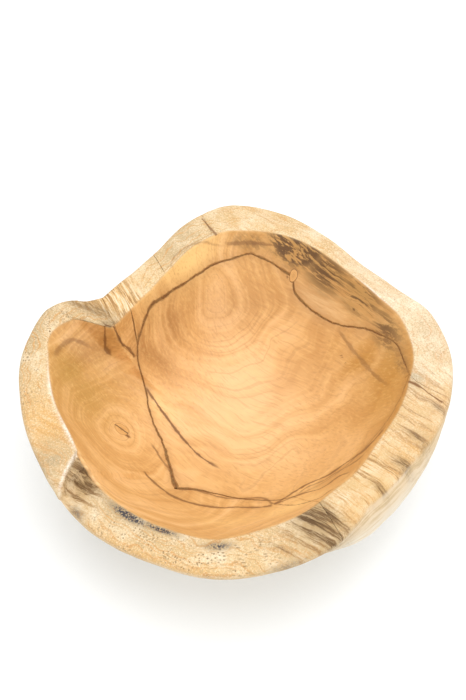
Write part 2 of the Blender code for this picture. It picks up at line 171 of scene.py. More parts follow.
def skin(degrees, place):
    """Points of the smooth skin. The hollow's height is floor + (mouth - floor) * share ** power, the
    mouth is a quadratic curve, the rim a shallow arch, its edge a quarter circle, and the outside
    reaches out as share ** power plus a belly of 4 * share * (1 - share)."""
    degrees, place = np.broadcast_arrays(degrees, place)
    get = {name: outline(name, degrees) for name in OUTLINE}
    mouth, edge = get["mouth"], get["edge"]
    mouth_z, edge_z = get["mouth_height"], get["edge_height"]

    share = np.clip(place, 0, 1) * MOUTH_SHARE
    soft = get["soft_mouth"]
    hollow = share * (soft + (mouth - soft) * share**OUTLINE_FADE)
    hollow_z = FLOOR_HEIGHT + (mouth_z - FLOOR_HEIGHT) * share**HOLLOW_POWER

    t = np.clip(place - 1, 0, 1)
    lip = (1 - t) ** 2 * hollow + 2 * t * (1 - t) * mouth + t**2 * (mouth + MOUTH_ROUND)
    lip_z = (1 - t) ** 2 * hollow_z + (1 - (1 - t) ** 2) * mouth_z

    t = np.clip(place - 2, 0, 1)
    rim = (mouth + MOUTH_ROUND) * (1 - t) + (edge - EDGE_ROUND) * t
    rim_z = mouth_z * (1 - t) + (edge_z + EDGE_ROUND) * t + RIM_CROWN * 4 * t * (1 - t)

    turn = np.clip(place - 3, 0, 1) * math.pi / 2
    corner = edge - EDGE_ROUND + EDGE_ROUND * np.sin(turn)
    corner_z = edge_z + EDGE_ROUND * np.cos(turn)

    share = 1 - np.clip(place - 4, 0, 1)
    wall = get["soft_edge"] + (edge - get["soft_edge"]) * share
    wall = FOOT_REACH + (wall - FOOT_REACH) * share**WALL_POWER + get["belly"] * 4 * share * (1 - share)
    wall_z = edge_z * share

    under = FOOT_REACH * (1 - np.clip(place - 5, 0, 1))
    bands = [place <= 1, place <= 2, place <= 3, place <= 4, place <= 5]
    reach = np.select(bands, [hollow, lip, rim, corner, wall], under)
    height = np.select(bands, [hollow_z, lip_z, rim_z, corner_z, wall_z], 0.0)
    angle = np.radians(degrees)
    return np.stack([reach * np.cos(angle), reach * np.sin(angle), height], axis=-1)


def outward(degrees, place):
    """Unit normals of the skin: the cross product of its slopes along the section and round it."""
    along = skin(degrees, np.minimum(place + 0.004, 6)) - skin(degrees, np.maximum(place - 0.004, 0.01))
    around = skin(degrees + 0.15, np.maximum(place, 0.02)) - skin(degrees - 0.15, np.maximum(place, 0.02))
    normal = np.cross(along, around)
    return normal / np.maximum(np.linalg.norm(normal, axis=-1, keepdims=True), 1e-12)


def place_at_reach(degrees, reach, low, high):
    """The place along the section, between low and high, where the skin has this reach: by halving."""
    degrees, reach = np.broadcast_arrays(degrees, reach)
    low, high = np.full(degrees.shape, float(low)), np.full(degrees.shape, float(high))
    rising = low[0] < 1
    for _ in range(30):
        middle = (low + high) / 2
        there = np.linalg.norm(skin(degrees, middle)[..., :2], axis=-1)
        beyond = (there > reach) == rising
        low, high = np.where(beyond, low, middle), np.where(beyond, middle, high)
    return (low + high) / 2


# %% [markdown]
# ## Tool marks
#
# Nothing on the real bowl is perfectly smooth. The hollow was ground with a disc and sanded, which
# leaves shallow dips as wide as a thumb. The rim was sawn and left nearly raw, and the outside was
# shaped with broad strokes. Value noise gives all of these: random numbers on a lattice, blended
# smoothly between its corners. The lattice is seeded, so the bowl is the same every time. On the
# left, a thin layer of the rim has broken away along a slanting edge, which leaves a low step with
# torn wood beside it, and the fibres of the saddle have split apart.

# %% Seeded noise and the relief that it carves
LATTICE = np.random.default_rng(7).uniform(-1, 1, (32, 32, 32))


def noise(points, size):
    """Value noise from -1 to 1 with lumps of this size: smooth blends of 8 lattice corners."""
    cell = points / size + 100.0
    whole = np.floor(cell).astype(int)
    t = cell - whole
    t = t * t * (3 - 2 * t)
    result = 0.0
    for corner in np.ndindex(2, 2, 2):
        index = (whole + corner) % 32
        weight = np.prod(np.where(np.array(corner) == 1, t, 1 - t), axis=-1)
        result = result + weight * LATTICE[index[..., 0], index[..., 1], index[..., 2]]
    return result


def layered(points, size, layers):
    """Noise plus finer noise on top: each layer is half as big and half as strong."""
    return sum(noise(points + 13.7 * k * size, size / 2**k) / 2**k for k in range(layers))


def step(value, start, end):
    """0 up to start, 1 from end on, and a smooth ramp between them."""
    t = np.clip((value - start) / (end - start), 0, 1)
    return t * t * (3 - 2 * t)


def bump_round(angle, centre, half):
    """1 at a bearing, falling smoothly to 0 at half degrees to either side."""
    apart = np.abs(np.mod(angle - centre + 180, 360) - 180)
    return 1 - step(apart, 0, half)


def relief(points, degrees, place):
    """How far the carved surface stands off the ideal skin, in metres: dips, saw marks and strokes
    where each belongs, less the torn wood, the split fibres and the layer that has broken off."""
    hollow = 1 - step(place, 0.97, 1.3)
    rim = step(place, 1.6, 2.1) * (1 - step(place, 3.2, 3.8))
    outside = step(place, 3.8, 4.2) * (1 - step(place, 4.9, 5.0))
    dips = 0.00022 * noise(points, 0.022) + 0.00007 * noise(points, 0.008)
    sawn = 0.00035 * noise(points, 0.03) + 0.00030 * layered(points, 0.006, 3)
    strokes = 0.0011 * noise(points * (1, 1, 0.6), 0.034) + 0.00025 * layered(points, 0.008, 2)
    broken = bump_round(degrees, 223.2, 7.5) * rim
    torn = -0.0016 * broken * np.abs(layered(points * (1.0, 2.2, 1), 0.0055, 3))
    saddle = bump_round(degrees, 143, 16) * rim
    split = -0.0009 * saddle * np.maximum(noise(along_fibre(points), 0.0016), 0) ** 0.7
    broken_edge = 213.0 + 8.0 * np.clip(place - 2, 0, 1) + 0.5 * noise(points, 0.006)
    broken_off = step(degrees % 360, broken_edge, broken_edge + 0.7) * (1 - step(degrees % 360, 218, 236))
    broken_off = -0.0024 * broken_off * step(place, 1.0, 1.8) * (1 - step(place, 3.6, 4.5))
    return hollow * dips + rim * sawn + outside * strokes + torn + split + broken_off


def along_fibre(points):
    """Points squeezed along the fibres that cross the saddle, so that noise on them makes streaks."""
    lean = math.radians(118)
    along = points[..., 0] * math.cos(lean) + points[..., 1] * math.sin(lean)
    across = -points[..., 0] * math.sin(lean) + points[..., 1] * math.cos(lean)
    return np.stack([along * 0.10, across, points[..., 2] * 0.3], axis=-1)


def carved(degrees, place, lowered=0.0):
    """Points of the carved skin: the ideal skin moved along its normal by the relief."""
    points = skin(degrees, place)
    return points + outward(degrees, place) * (relief(points, degrees, place) - lowered)[..., None]


# %% [markdown]
# ## The seams
#
# Roots grow downward, so each seam is a line in plan carried straight down. Most of the seams lie on
# one ring round the middle root. On it, the reach of the seam is a function of the bearing. The
# cracks that run from that ring out across the rim are bearings as a function of the reach. The
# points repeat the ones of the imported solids, and a little noise makes each line wander as bark does.

# %% Seams as functions


def at_size(points):
    return np.array(points, float) * MM * SCALE[:2]


def smooth_line(points, spacing=0.0015):
    """A Catmull-Rom curve through plan points: each stretch a cubic through four neighbours."""
    points = at_size(points)
    ends = np.vstack([2 * points[0] - points[1], points, 2 * points[-1] - points[-2]])
    stretches = []
    for a, b, c, d in zip(ends, ends[1:], ends[2:], ends[3:]):
        t = np.linspace(0, 1, max(2, int(np.linalg.norm(c - b) / spacing)), endpoint=False)[:, None]
        cubic = (2 * a - 5 * b + 4 * c - d) * t**2 + (3 * b - a - 3 * c + d) * t**3
        stretches.append(0.5 * (2 * b + (c - a) * t + cubic))
    return np.vstack([*stretches, points[-1:]])


def polar(line):
    return np.degrees(np.arctan2(line[:, 1], line[:, 0])), np.hypot(line[:, 0], line[:, 1])


LEFT_SEAM = ((-70.8, 42), (-70.8, 36), (-69.5, 30), (-66, 22), (-63, 8), (-59, -4), (-53, -16),
             (-48, -32), (-43, -52), (-40, -60))
FRONT_SEAM = ((-40, -60), (-27, -59), (-14, -61), (0, -66), (18, -71), (32, -76), (42, -77))
BACK_SEAM = ((-70.8, 42), (-66.5, 52.5), (-61, 62), (-52, 72), (-40, 84), (-27, 96), (-12, 106),
             (9, 112), (22, 110), (33, 105), (46, 98))
RIGHT_SEAM = ((46, 98), (47, 90), (54, 82), (64, 73), (77, 62), (92, 53), (105, 43), (117, 28),
              (121, 12), (122.5, -5))
SADDLE_CRACK = ((-70.8, 42), (-72.3, 47.5), (-74, 52.5), (-86, 76), (-101, 106), (-108, 118))
WEDGE_CRACK = ((-70.8, 36), (-79, 34.5), (-85, 39), (-97, 66), (-112, 96), (-120, 110))
FRONT_CRACK = ((42, -77), (50, -91), (56, -104), (70, -129), (84, -154))
RIGHT_CRACK = ((122.5, -5), (129, -13), (149, -24), (178, -39))

ring_lines = [smooth_line(line) for line in (RIGHT_SEAM[::-1], BACK_SEAM[::-1], LEFT_SEAM, FRONT_SEAM)]
ring_bearing, ring_reach = polar(np.vstack(ring_lines))
ring_order = np.argsort(np.mod(ring_bearing, 360))
RING_BEARING = np.mod(ring_bearing, 360)[ring_order]
RING_REACH = ring_reach[ring_order]


def seam_reach(degrees):
    """Reach of the ring of seams, with a wander of a third of a millimetre."""
    angle = np.mod(degrees, 360)
    reach = np.interp(angle, RING_BEARING, RING_REACH, period=360)
    on_circle = np.stack([np.cos(np.radians(angle)), np.sin(np.radians(angle)), angle * 0], -1) * 0.08
    return reach + 0.00035 * noise(on_circle, 0.0045) + 0.00012 * noise(on_circle, 0.0012)


def seam_slant(degrees):
    """How much longer a radial step is than a step square to the seam."""
    slope = (seam_reach(degrees + 0.5) - seam_reach(degrees - 0.5)) / np.radians(1.0)
    return np.clip(np.hypot(1, slope / seam_reach(degrees)), 1, 3.5)


def seam_half(degrees):
    """Half the thickness of the filling, which swells and pinches along the seam."""
    angle = np.mod(degrees, 360)
    table_bearing = [0, 30, 57, 64, 72, 100, 149, 153, 175, 200, 225, 236, 250, 270, 290, 299, 357, 360]
    table_half = [0.28, 0.42, 0.5, 0.8, 0.45, 0.42, 0.5, 0.6, 0.62, 0.85, 1.5, 1.9, 0.7, 0.5, 0.4, 0.2,
                  0.2, 0.28]
    on_circle = np.stack([np.cos(np.radians(angle)), np.sin(np.radians(angle)), angle * 0 + 3], -1) * 0.08
    return np.interp(angle, table_bearing, table_half) * MM * (1 + 0.3 * noise(on_circle, 0.004))


def crack_bearing(line, reach, gap):
    """Bearing of a crack at a reach, moved sideways by a gap in metres towards higher bearings."""
    bearing, line_reach = polar(smooth_line(line))
    wander = 0.0003 * noise(np.stack([reach, reach * 0, reach * 0 + bearing[0]], -1), 0.003)
    return np.interp(reach, line_reach, np.unwrap(bearing, period=360)) + np.degrees((gap + wander) / reach)


print("ring of seams, reach in mm:", np.round([RING_REACH.min() * 1000, RING_REACH.max() * 1000], 1))

# %% [markdown]
# ## Grids into meshes
#
# Each piece is one grid of points, folded up into a closed solid: round and round for the middle
# root, and a closed loop swept sideways for the others. Faces come from the grid of vertex numbers,
# four neighbours each, and a pole where a whole edge of the grid is one vertex gives triangles.

# %% Mesh helpers
def faces_of(numbers):
    """Quads from a grid of vertex numbers, and triangles where two corners are the same vertex."""
    corners = np.stack([numbers[:-1, :-1], numbers[:-1, 1:], numbers[1:, 1:], numbers[1:, :-1]], -1)
    corners = corners.reshape(-1, 4)
    same = corners == np.roll(corners, -1, axis=1)
    quads = corners[same.sum(1) == 0]
    with_pole = corners[same.sum(1) == 1]
    double = same[same.sum(1) == 1].argmax(1)
    rest = (double[:, None] + np.array([1, 2, 3])) % 4
    return quads, np.take_along_axis(with_pole, rest, axis=1)


def make_piece(name, points, grids, values):
    """A mesh object from points, grids of vertex numbers and one named value or vector per vertex.
    Points that no face uses are left out, and the faces are turned outwards by the sign of the volume."""
    parts = [faces_of(numbers) for numbers in grids]
    quads = np.vstack([part[0] for part in parts])
    triangles = np.vstack([part[1] for part in parts])
    halves = np.vstack([quads[:, :3], quads[:, [0, 2, 3]], triangles])
    middle = points.mean(0)
    if np.linalg.det(points[halves] - middle).sum() < 0:
        quads, triangles = quads[:, ::-1], triangles[:, ::-1]
    used, numbers = np.unique(np.concatenate([quads.ravel(), triangles.ravel()]), return_inverse=True)
    points = points[used]
    mesh = bpy.data.meshes.new(name)
    mesh.vertices.add(len(points))
    mesh.vertices.foreach_set("co", points.astype(np.float32).ravel())
    mesh.loops.add(len(numbers))
    mesh.loops.foreach_set("vertex_index", numbers.astype(np.int32))
    mesh.polygons.add(len(quads) + len(triangles))
    starts = np.concatenate([np.arange(len(quads)) * 4, quads.size + np.arange(len(triangles)) * 3])
    mesh.polygons.foreach_set("loop_start", starts.astype(np.int32))
    mesh.update(calc_edges=True)
    mesh.validate()
    for key, value in values.items():
        value = value[used]
        kind, field = ("FLOAT_VECTOR", "vector") if value.ndim == 2 else ("FLOAT", "value")
        layer = mesh.attributes.new(key, kind, "POINT")
        layer.data.foreach_set(field, value.astype(np.float32).ravel())
    mesh.shade_smooth()
    mesh.set_sharp_from_angle(angle=math.radians(38))
    made = bpy.data.objects.new(name, mesh)
    bpy.context.scene.collection.objects.link(made)
    print(f"{name}: {len(points)} vertices, {2 * len(quads) + len(triangles)} triangles")
    return made

# %% [markdown]
# ## Values that the finishes need
#
# A wood finish has to know where on the bowl it is: in the satin hollow, on the raw rim or outside,
# how far from a vein, in which stained patch. Those are worked out here as one value per vertex and
# stored on the mesh, because a material can read them back exactly. For a thin line the value is the
# signed distance to it: it changes evenly from vertex to vertex, so the line stays sharp.

# %% Distances to veins, and patches of colour
VEIN_FADE = 0.006


def line_distance(plan, line):
    """(signed distance, place along from 0 to 1) of plan points to a polyline: the nearest of the
    distances to its straight stretches, positive on its left."""
    start, heading = line[:-1], np.diff(line, axis=0)
    length = np.linalg.norm(heading, axis=1)
    heading = heading / length[:, None]
    before = np.concatenate([[0], np.cumsum(length)])
    from_start = plan[:, None] - start
    along = np.clip((from_start * heading).sum(-1), 0, length)
    offset = from_start - along[..., None] * heading
    apart = np.linalg.norm(offset, axis=-1)
    nearest = apart.argmin(1)
    pick = np.arange(len(plan)), nearest
    side = np.sign(heading[nearest, 0] * offset[pick][:, 1] - heading[nearest, 1] * offset[pick][:, 0])
    return side * apart[pick], (before[nearest] + along[pick]) / before[-1]


def vein_values(plan, lines):
    """Per vertex (signed distance in mm, strength, 0): strength is 1 on the vein and 0 from VEIN_FADE
    away and at the ends, so that several veins can share one set of values."""
    result = np.zeros((len(plan), 3))
    result[:, 0] = 50.0
    for points, thickness, start_fade, end_fade in lines:
        line = smooth_line(points, 0.002)
        low, high = line.min(0) - VEIN_FADE, line.max(0) + VEIN_FADE
        near = np.flatnonzero(np.all((plan > low) & (plan < high), axis=1))
        if not len(near):
            continue
        distance, along = line_distance(plan[near], line)
        ends = step(along, 0.0, start_fade) * (1 - step(along, 1 - end_fade, 1.0))
        strength = (1 - step(np.abs(distance), VEIN_FADE * 0.5, VEIN_FADE)) * ends * thickness
        closer = np.abs(distance) * 1000 < np.abs(result[near, 0])
        result[near[closer], 0] = distance[closer] * 1000
        result[near[closer], 1] = strength[closer]
    return result


def patch(plan, places):
    """The strongest of several soft ovals, each (x, y, half length, half width, turn, strength)."""
    total = np.zeros(len(plan))
    for x, y, half_length, half_width, turn, strength in places:
        turned = math.radians(turn)
        dx, dy = (plan - at_size((x, y))).T / MM
        along = (dx * math.cos(turned) + dy * math.sin(turned)) / half_length
        across = (dy * math.cos(turned) - dx * math.sin(turned)) / half_width
        total = np.maximum(total, strength * np.exp(-1.2 * (along**2 + across**2)))
    return total


# Veins in plan, in millimetres: points, strength, and the shares of the length that fade in and out.
BROWN_VEINS = (
    (((-66, 23), (-58, 14), (-48, 2), (-36, -13), (-25, -25), (-17, -31), (-7, -38)), 1.0, 0.02, 0.15),
    (((-64, -51), (-53, -62), (-41, -71), (-25, -76), (-8, -78), (2, -77.6), (20, -81), (28, -81)),
     0.9, 0.03, 0.02),
    (((28, -81), (38, -74), (52, -66), (66, -64), (78, -60), (89, -58), (99, -50), (104, -43)),
     1.0, 0.02, 0.1),
    (((-61, -20), (-56, -28), (-52, -35), (-47, -41), (-44, -45)), 0.7, 0.2, 0.1),
    (((-86, 38), (-84, 36.5), (-81, 35), (-76, 36), (-73, 34)), 1.0, 0.01, 0.02),
    (((-86, -18), (-80.5, -20), (-74, -23)), 1.0, 0.15, 0.15),
    (((-126, 9), (-124, 22), (-117, 31), (-108, 33), (-98, 31)), 0.5, 0.2, 0.3),
    (((78, 60), (84, 49), (94, 33), (103, 15), (110, 0), (114, -9)), 0.5, 0.1, 0.3),
)
THIN_VEINS = (
    (((28, -80), (47, -77), (60, -80), (72, -74), (79, -78)), 1.0, 0.02, 0.1),
    (((-88.5, 38), (-92, 37), (-94, 34.5), (-91, 33.5), (-88.5, 33.5)), 0.9, 0.02, 0.2),
    (((-35, -57), (-18, -62), (-2, -67), (20, -69), (28, -80)), 0.8, 0.1, 0.02),
    (((-9, 116), (6, 117), (22, 116), (36, 113)), 0.6, 0.2, 0.2),
    (((121, -11), (128, -15), (136, -22), (144, -28)), 1.0, 0.02, 0.02),
    (((-24, 136), (-18.5, 127), (-12.4, 118)), 0.8, 0.02, 0.02),
    (((42, 98), (40.5, 98.6)), 0.9, 0.01, 0.01),
    (((82, 40), (81, 41)), 0.9, 0.01, 0.01),
    (((84, 35), (84.6, 35.3)), 0.6, 0.01, 0.01),
)
FRINGE_VEINS = (
    (((30, -80), (41, -90), (50, -94), (58, -97), (62, -93), (67, -93)), 0.8, 0.1, 0.1),
    (((44, -76), (52, -70), (62, -69), (72, -66), (84, -66), (92, -60)), 0.7, 0.1, 0.2),
    (((-40, 84), (-46, 92), (-38, 104), (-22, 112), (0, 116)), 0.35, 0.2, 0.3),
)

# Soft ovals in plan, in millimetres: (x, y, half length, half width, turn in degrees, strength).
HOLLOW_TONES = {
    "pale": ((8, 10, 62, 45, -15, 1.0), (-48, 2, 28, 30, 50, 1.0), (-20, 40, 40, 22, 10, 0.6),
             (30, -22, 55, 30, -20, 0.75), (6, 62, 24, 14, 0, 0.7)),
    "brown": ((-112, 28, 15, 11, 60, 0.6), (-96, 38, 14, 7, 20, 0.6), (-48, 62, 22, 11, 52, 1.0),
              (-66, 42, 9, 12, 90, 0.9), (-8, 84, 32, 13, 12, 1.0), (-54, 46, 14, 11, 60, 0.9),
              (-55, 57, 11, 9, 60, 0.8), (36, 84, 26, 14, 0, 0.3), (-44, -66, 30, 14, -30, 0.25)),
    # These ovals are painted light: brighter gold on the band of the upper left wall, on the front wall and
    # on the left, where the walls face the light.
    "painted_light": ((-36, 95, 38, 9, 46, 1.1), (-62, 68, 16, 9, 55, 0.8), (-85, 62, 10, 7, 60, 0.4),
            (42, -92, 26, 9, 10, 0.8), (0, -98, 26, 9, 0, 0.4), (-58, 12, 12, 14, 60, 0.5),
            (46, -78, 18, 9, 30, 0.6)),
    "green": ((-104, -2, 36, 26, 80, 0.8), (-116, 10, 30, 14, 80, 1.0), (-97, 22, 26, 18, 20, 0.6),
              (112, 18, 24, 12, 65, 0.5)),
    "amber": ((114, -10, 42, 16, 80, 1.0), (100, -55, 34, 10, 48, 0.6), (97, 28, 26, 15, -55, 1.0),
              (30, 114, 40, 8, -10, 0.6)),
    "spalt": ((14, 117, 20, 5, -8, 0.6), (48, 110, 22, 8, -26, 1.9), (70, 91, 24, 9, -42, 1.05),
              (94, 68, 24, 9, -50, 0.95), (111, 40, 24, 8, -66, 0.9), (120, 10, 18, 5, -80, 0.6)),
    "crescent": ((66, 78, 27, 8, -41, 0.62), (113, 38, 18, 3, -62, 0.5)),
}
# Patches of the rim: (bearing, half of its arc, place across from 0 at the mouth to 1 at the edge,
# half of its width across, strength, degrees that it leans between the mouth and the edge).
RIM_TONES = {
    "umber": ((220, 7.0, 0.15, 0.60, 0.95, 3), (157, 3, 0.05, 0.14, 1.0, 0), (152, 3, 0.55, 0.7, 0.8, 0),
              (155, 6, 0.0, 0.10, 0.8, 0)),
    "ink": ((239, 6.5, 0.14, 0.13, 1.5, 0), (249, 6, 0.11, 0.09, 1.3, 0), (266, 4, 0.22, 0.12, 1.0, 0),
            (227, 2.5, 0.9, 0.15, 0.7, 0), (283, 5, 1.0, 0.12, 0.6, 0)),
    "grey": ((357, 5, 0.14, 0.30, 1.0, 0), (10, 9, 0.6, 0.4, 0.35, 0), (110, 12, 0.5, 1.1, 0.7, 0),
             (152, 9, 0.3, 0.7, 0.6, 0), (168, 14, 0.7, 0.6, 0.75, 0), (212, 7, 0.75, 0.7, 1.2, 0),
             (292, 13, 0.5, 1.2, 0.5, 0), (240, 18, 0.3, 0.5, 0.45, 0), (335, 14, 0.8, 0.4, 0.35, 0),
             (98, 3, 0.0, 0.2, 0.8, 0)),
    "orange": ((203, 13, 0.5, 0.9, 1.3, 0), (350, 4, 0.85, 0.3, 0.8, 0), (252, 26, 1.0, 0.22, 0.9, 0),
               (304, 5, 0.85, 0.4, 0.9, 0), (318, 8, 0.9, 0.3, 0.6, 0), (332, 12, 0.8, 0.5, 1.15, 0),
               (140, 14, 0.7, 0.7, 0.4, 0), (125, 10, 0.3, 0.6, 0.3, 0),
               (60, 25, 0.1, 0.3, 0.35, 0)),
    # These are a painted highlight: a white line along the rounded mouth and along the broken step, and a
    # faint paling over the whole rim on the right.
    "painted_highlight_and_paling": ((33, 9, 0.0, 0.10, 1.0, 0), (188, 9, 0.0, 0.09, 0.9, 0), (205, 8, 0.0, 0.10, 1.0, 0),
              (213.0, 0.6, 0.4, 0.7, 0.8, 8), (20, 34, 0.5, 2.0, 0.2, 0)),
    "grained": ((345, 22, 0.5, 2.0, 0.8, 0), (315, 22, 0.5, 2.0, 1.0, 0), (293, 14, 0.5, 2.0, 0.9, 0),
                (205, 12, 0.5, 2.0, 0.5, 0), (222, 8, 0.5, 2.0, 0.9, 0), (40, 30, 0.5, 2.0, 0.5, 0),
                (82, 16, 0.5, 2.0, 0.5, 0)),
    "speckled": ((262, 26, 0.6, 1.2, 0.9, 0), (240, 14, 0.5, 1.2, 0.8, 0), (168, 20, 0.6, 1.2, 1.0, 0),
                 (190, 14, 0.9, 0.6, 0.7, 0), (12, 25, 0.5, 1.0, 0.35, 0), (285, 8, 0.9, 0.3, 0.6, 0)),
}
# The umber that followed the front crack, and knotty spots on the right: ovals in plan, as above.
RIM_UMBER = ((50, -118, 30, 12, -36, 1.1), (58, -110, 24, 5, -36, 1.1), (62, -131, 12, 4, -36, 0.9),
             (113, -76, 9, 4, -36, 0.9), (123, -55, 10, 3.5, -36, 0.7), (97, -94, 8, 3, -36, 0.6),
             (128, -62, 7, 3, -36, 0.5), (30, -137, 12, 3, -20, 0.5), (140, -32, 6, 2, -36, 0.5))


def rim_patch_value(degrees, across, places):
    """The strongest of several soft patches of the rim, each listed as in RIM_TONES."""
    total = np.zeros(len(degrees))
    for bearing, half_arc, middle, half_width, strength, lean in places:
        apart = (np.mod(degrees - bearing - lean * across + 180, 360) - 180) / half_arc
        aside = (across - middle) / half_width
        total = np.maximum(total, strength * np.exp(-1.2 * (apart**2 + aside**2)))
    return total


def finish_values(points, degrees, place):
    """Every value that the wood finishes read, for points of the skin, three to a stored vector. zone
    is (on the rim, on the outside, round a knot), unrolled is (arc length, reach, height), seam is
    (mm from the seam, half the filling in mm, inside the wood). The others are strengths of a patch."""
    plan = points[:, :2]
    on_rim = step(place, 1.35, 2.0)
    reach = np.linalg.norm(plan, axis=1)
    mouth, edge = outline("mouth", degrees), outline("edge", degrees)
    across = (reach - mouth) / (edge - mouth)
    hollow = {name: patch(plan, ovals) * (1 - on_rim) for name, ovals in HOLLOW_TONES.items()}
    rim = {name: rim_patch_value(degrees, across, places) for name, places in RIM_TONES.items()}
    past_the_break = step(degrees % 360, 213.3 + 8.0 * across, 214.0 + 8.0 * across)
    rim["umber"] *= np.where(np.abs(degrees % 360 - 220) < 20, past_the_break, 1.0)
    rim["umber"] = np.maximum(rim["umber"], patch(plan, RIM_UMBER))
    eye = patch(plan, ((-81, -20, 17, 13, 70, 1.0), (46, 98, 8, 8, 0, 0.7), (-66, 52, 12, 8, 40, 0.8)))
    seam_apart = (reach - seam_reach(degrees)) / seam_slant(degrees) * 1000
    return {
        "zone": np.stack([on_rim, step(place, 3.5, 4.2), eye * (1 - on_rim)], -1),
        "unrolled": np.stack([(mouth + edge) / 2 * np.radians(degrees), reach, points[:, 2]], -1),
        "brown_veins": vein_values(plan, BROWN_VEINS),
        "thin_veins": vein_values(plan, THIN_VEINS),
        "fringe_veins": vein_values(plan, FRINGE_VEINS),
        "seam": np.stack([seam_apart, seam_half(degrees) * 1000, step(place, 5.8, 5.85)], -1),
        # The third of these is painted light, not a tone of the wood.
        "tones_and_painted_light": np.stack([hollow["pale"], hollow["brown"], hollow["painted_light"]], -1),
        "casts": np.stack([hollow["green"], hollow["amber"], hollow["crescent"]], -1),
        "stains": np.stack([hollow["spalt"], rim["umber"], rim["ink"]], -1),
        # The third of these is a painted highlight, with a faint paling of the rim on the right.
        "rim_casts_and_highlight": np.stack([rim["grey"], rim["orange"], rim["painted_highlight_and_paling"]], -1),
        "rim_marks": np.stack([rim["grained"], rim["speckled"], bump_round(degrees, 143, 15)], -1),
    }


# %% [markdown]
# ## The middle root
#
# The middle root makes the foot, the floor and the right-hand wall. Its grid is a fan of rays that
# start at a pole in the hollow and end at a pole under the foot. Where the root ends at a seam, the
# ray drops straight down beside it. On the right, where the root runs on out to the rim, the ray goes
# over the rim and down the outside instead, and the sides of that opening are its two cracks.

# %% Sections, and the middle root
HAIRLINE = 0.00016
LIP_ROWS, RIM_ROWS, CORNER_ROWS = 5, 28, 8
INSIDE = 5.9                      # the place given to faces that lie hidden between two pieces
SOCKET_DEPTH = 0.0012
KNOT_BACK, KNOT_BACK_RADIUS = (46, 98), 0.0032
KNOT_LEFT, KNOT_LEFT_RADIUS = (-81, -18), 0.0050


def spread(start, end, count, last=False):
    """count rows of places from start to end, for whole rows of columns at once."""
    share = np.linspace(0, 1, count, endpoint=last)[:, None]
    return start + (end - start) * share


def over_the_rim(first, last, hollow_rows, upper_rows, lower_rows, bed):
    """Rows of places from first, up the hollow, over the rim, and down past bed to last."""
    one = np.ones_like(first)
    return np.vstack(
        [
            spread(first, one, hollow_rows),
            spread(one, 2 * one, LIP_ROWS),
            spread(2 * one, 3 * one, RIM_ROWS),
            spread(3 * one, 4 * one, CORNER_ROWS),
            spread(4 * one, bed, upper_rows),
            spread(bed, last, lower_rows, last=True),
        ]
    )


def between(start, end, share, places):
    """Bearings of a grid whose columns run evenly from one crack to the other at every reach. The
    reach depends on the bearing and the other way round, so a few rounds settle them."""
    bearings = np.broadcast_to(start(0.1) + (end(0.1) - start(0.1)) * share, places.shape)
    for _ in range(26):
        reach = np.linalg.norm(skin(bearings, places)[..., :2], axis=-1)
        bearings = 0.7 * bearings + 0.3 * (start(reach) * (1 - share) + end(reach) * share)
    return bearings


def knot_sockets(points):
    """Depth of the shallow sockets that the two knots sit in."""
    depth = np.zeros(points.shape[:-1])
    for place, radius in ((KNOT_BACK, KNOT_BACK_RADIUS), (KNOT_LEFT, KNOT_LEFT_RADIUS)):
        apart = np.linalg.norm(points[..., :2] - at_size(place), axis=-1)
        depth = np.maximum(depth, SOCKET_DEPTH * (1 - step(apart, 0.55 * radius, 0.8 * radius)))
    return depth


def front_crack(side):
    return lambda reach: crack_bearing(FRONT_CRACK, reach, side * HAIRLINE) % 360


def right_crack(side):
    return lambda reach: crack_bearing(RIGHT_CRACK, reach, side * HAIRLINE)


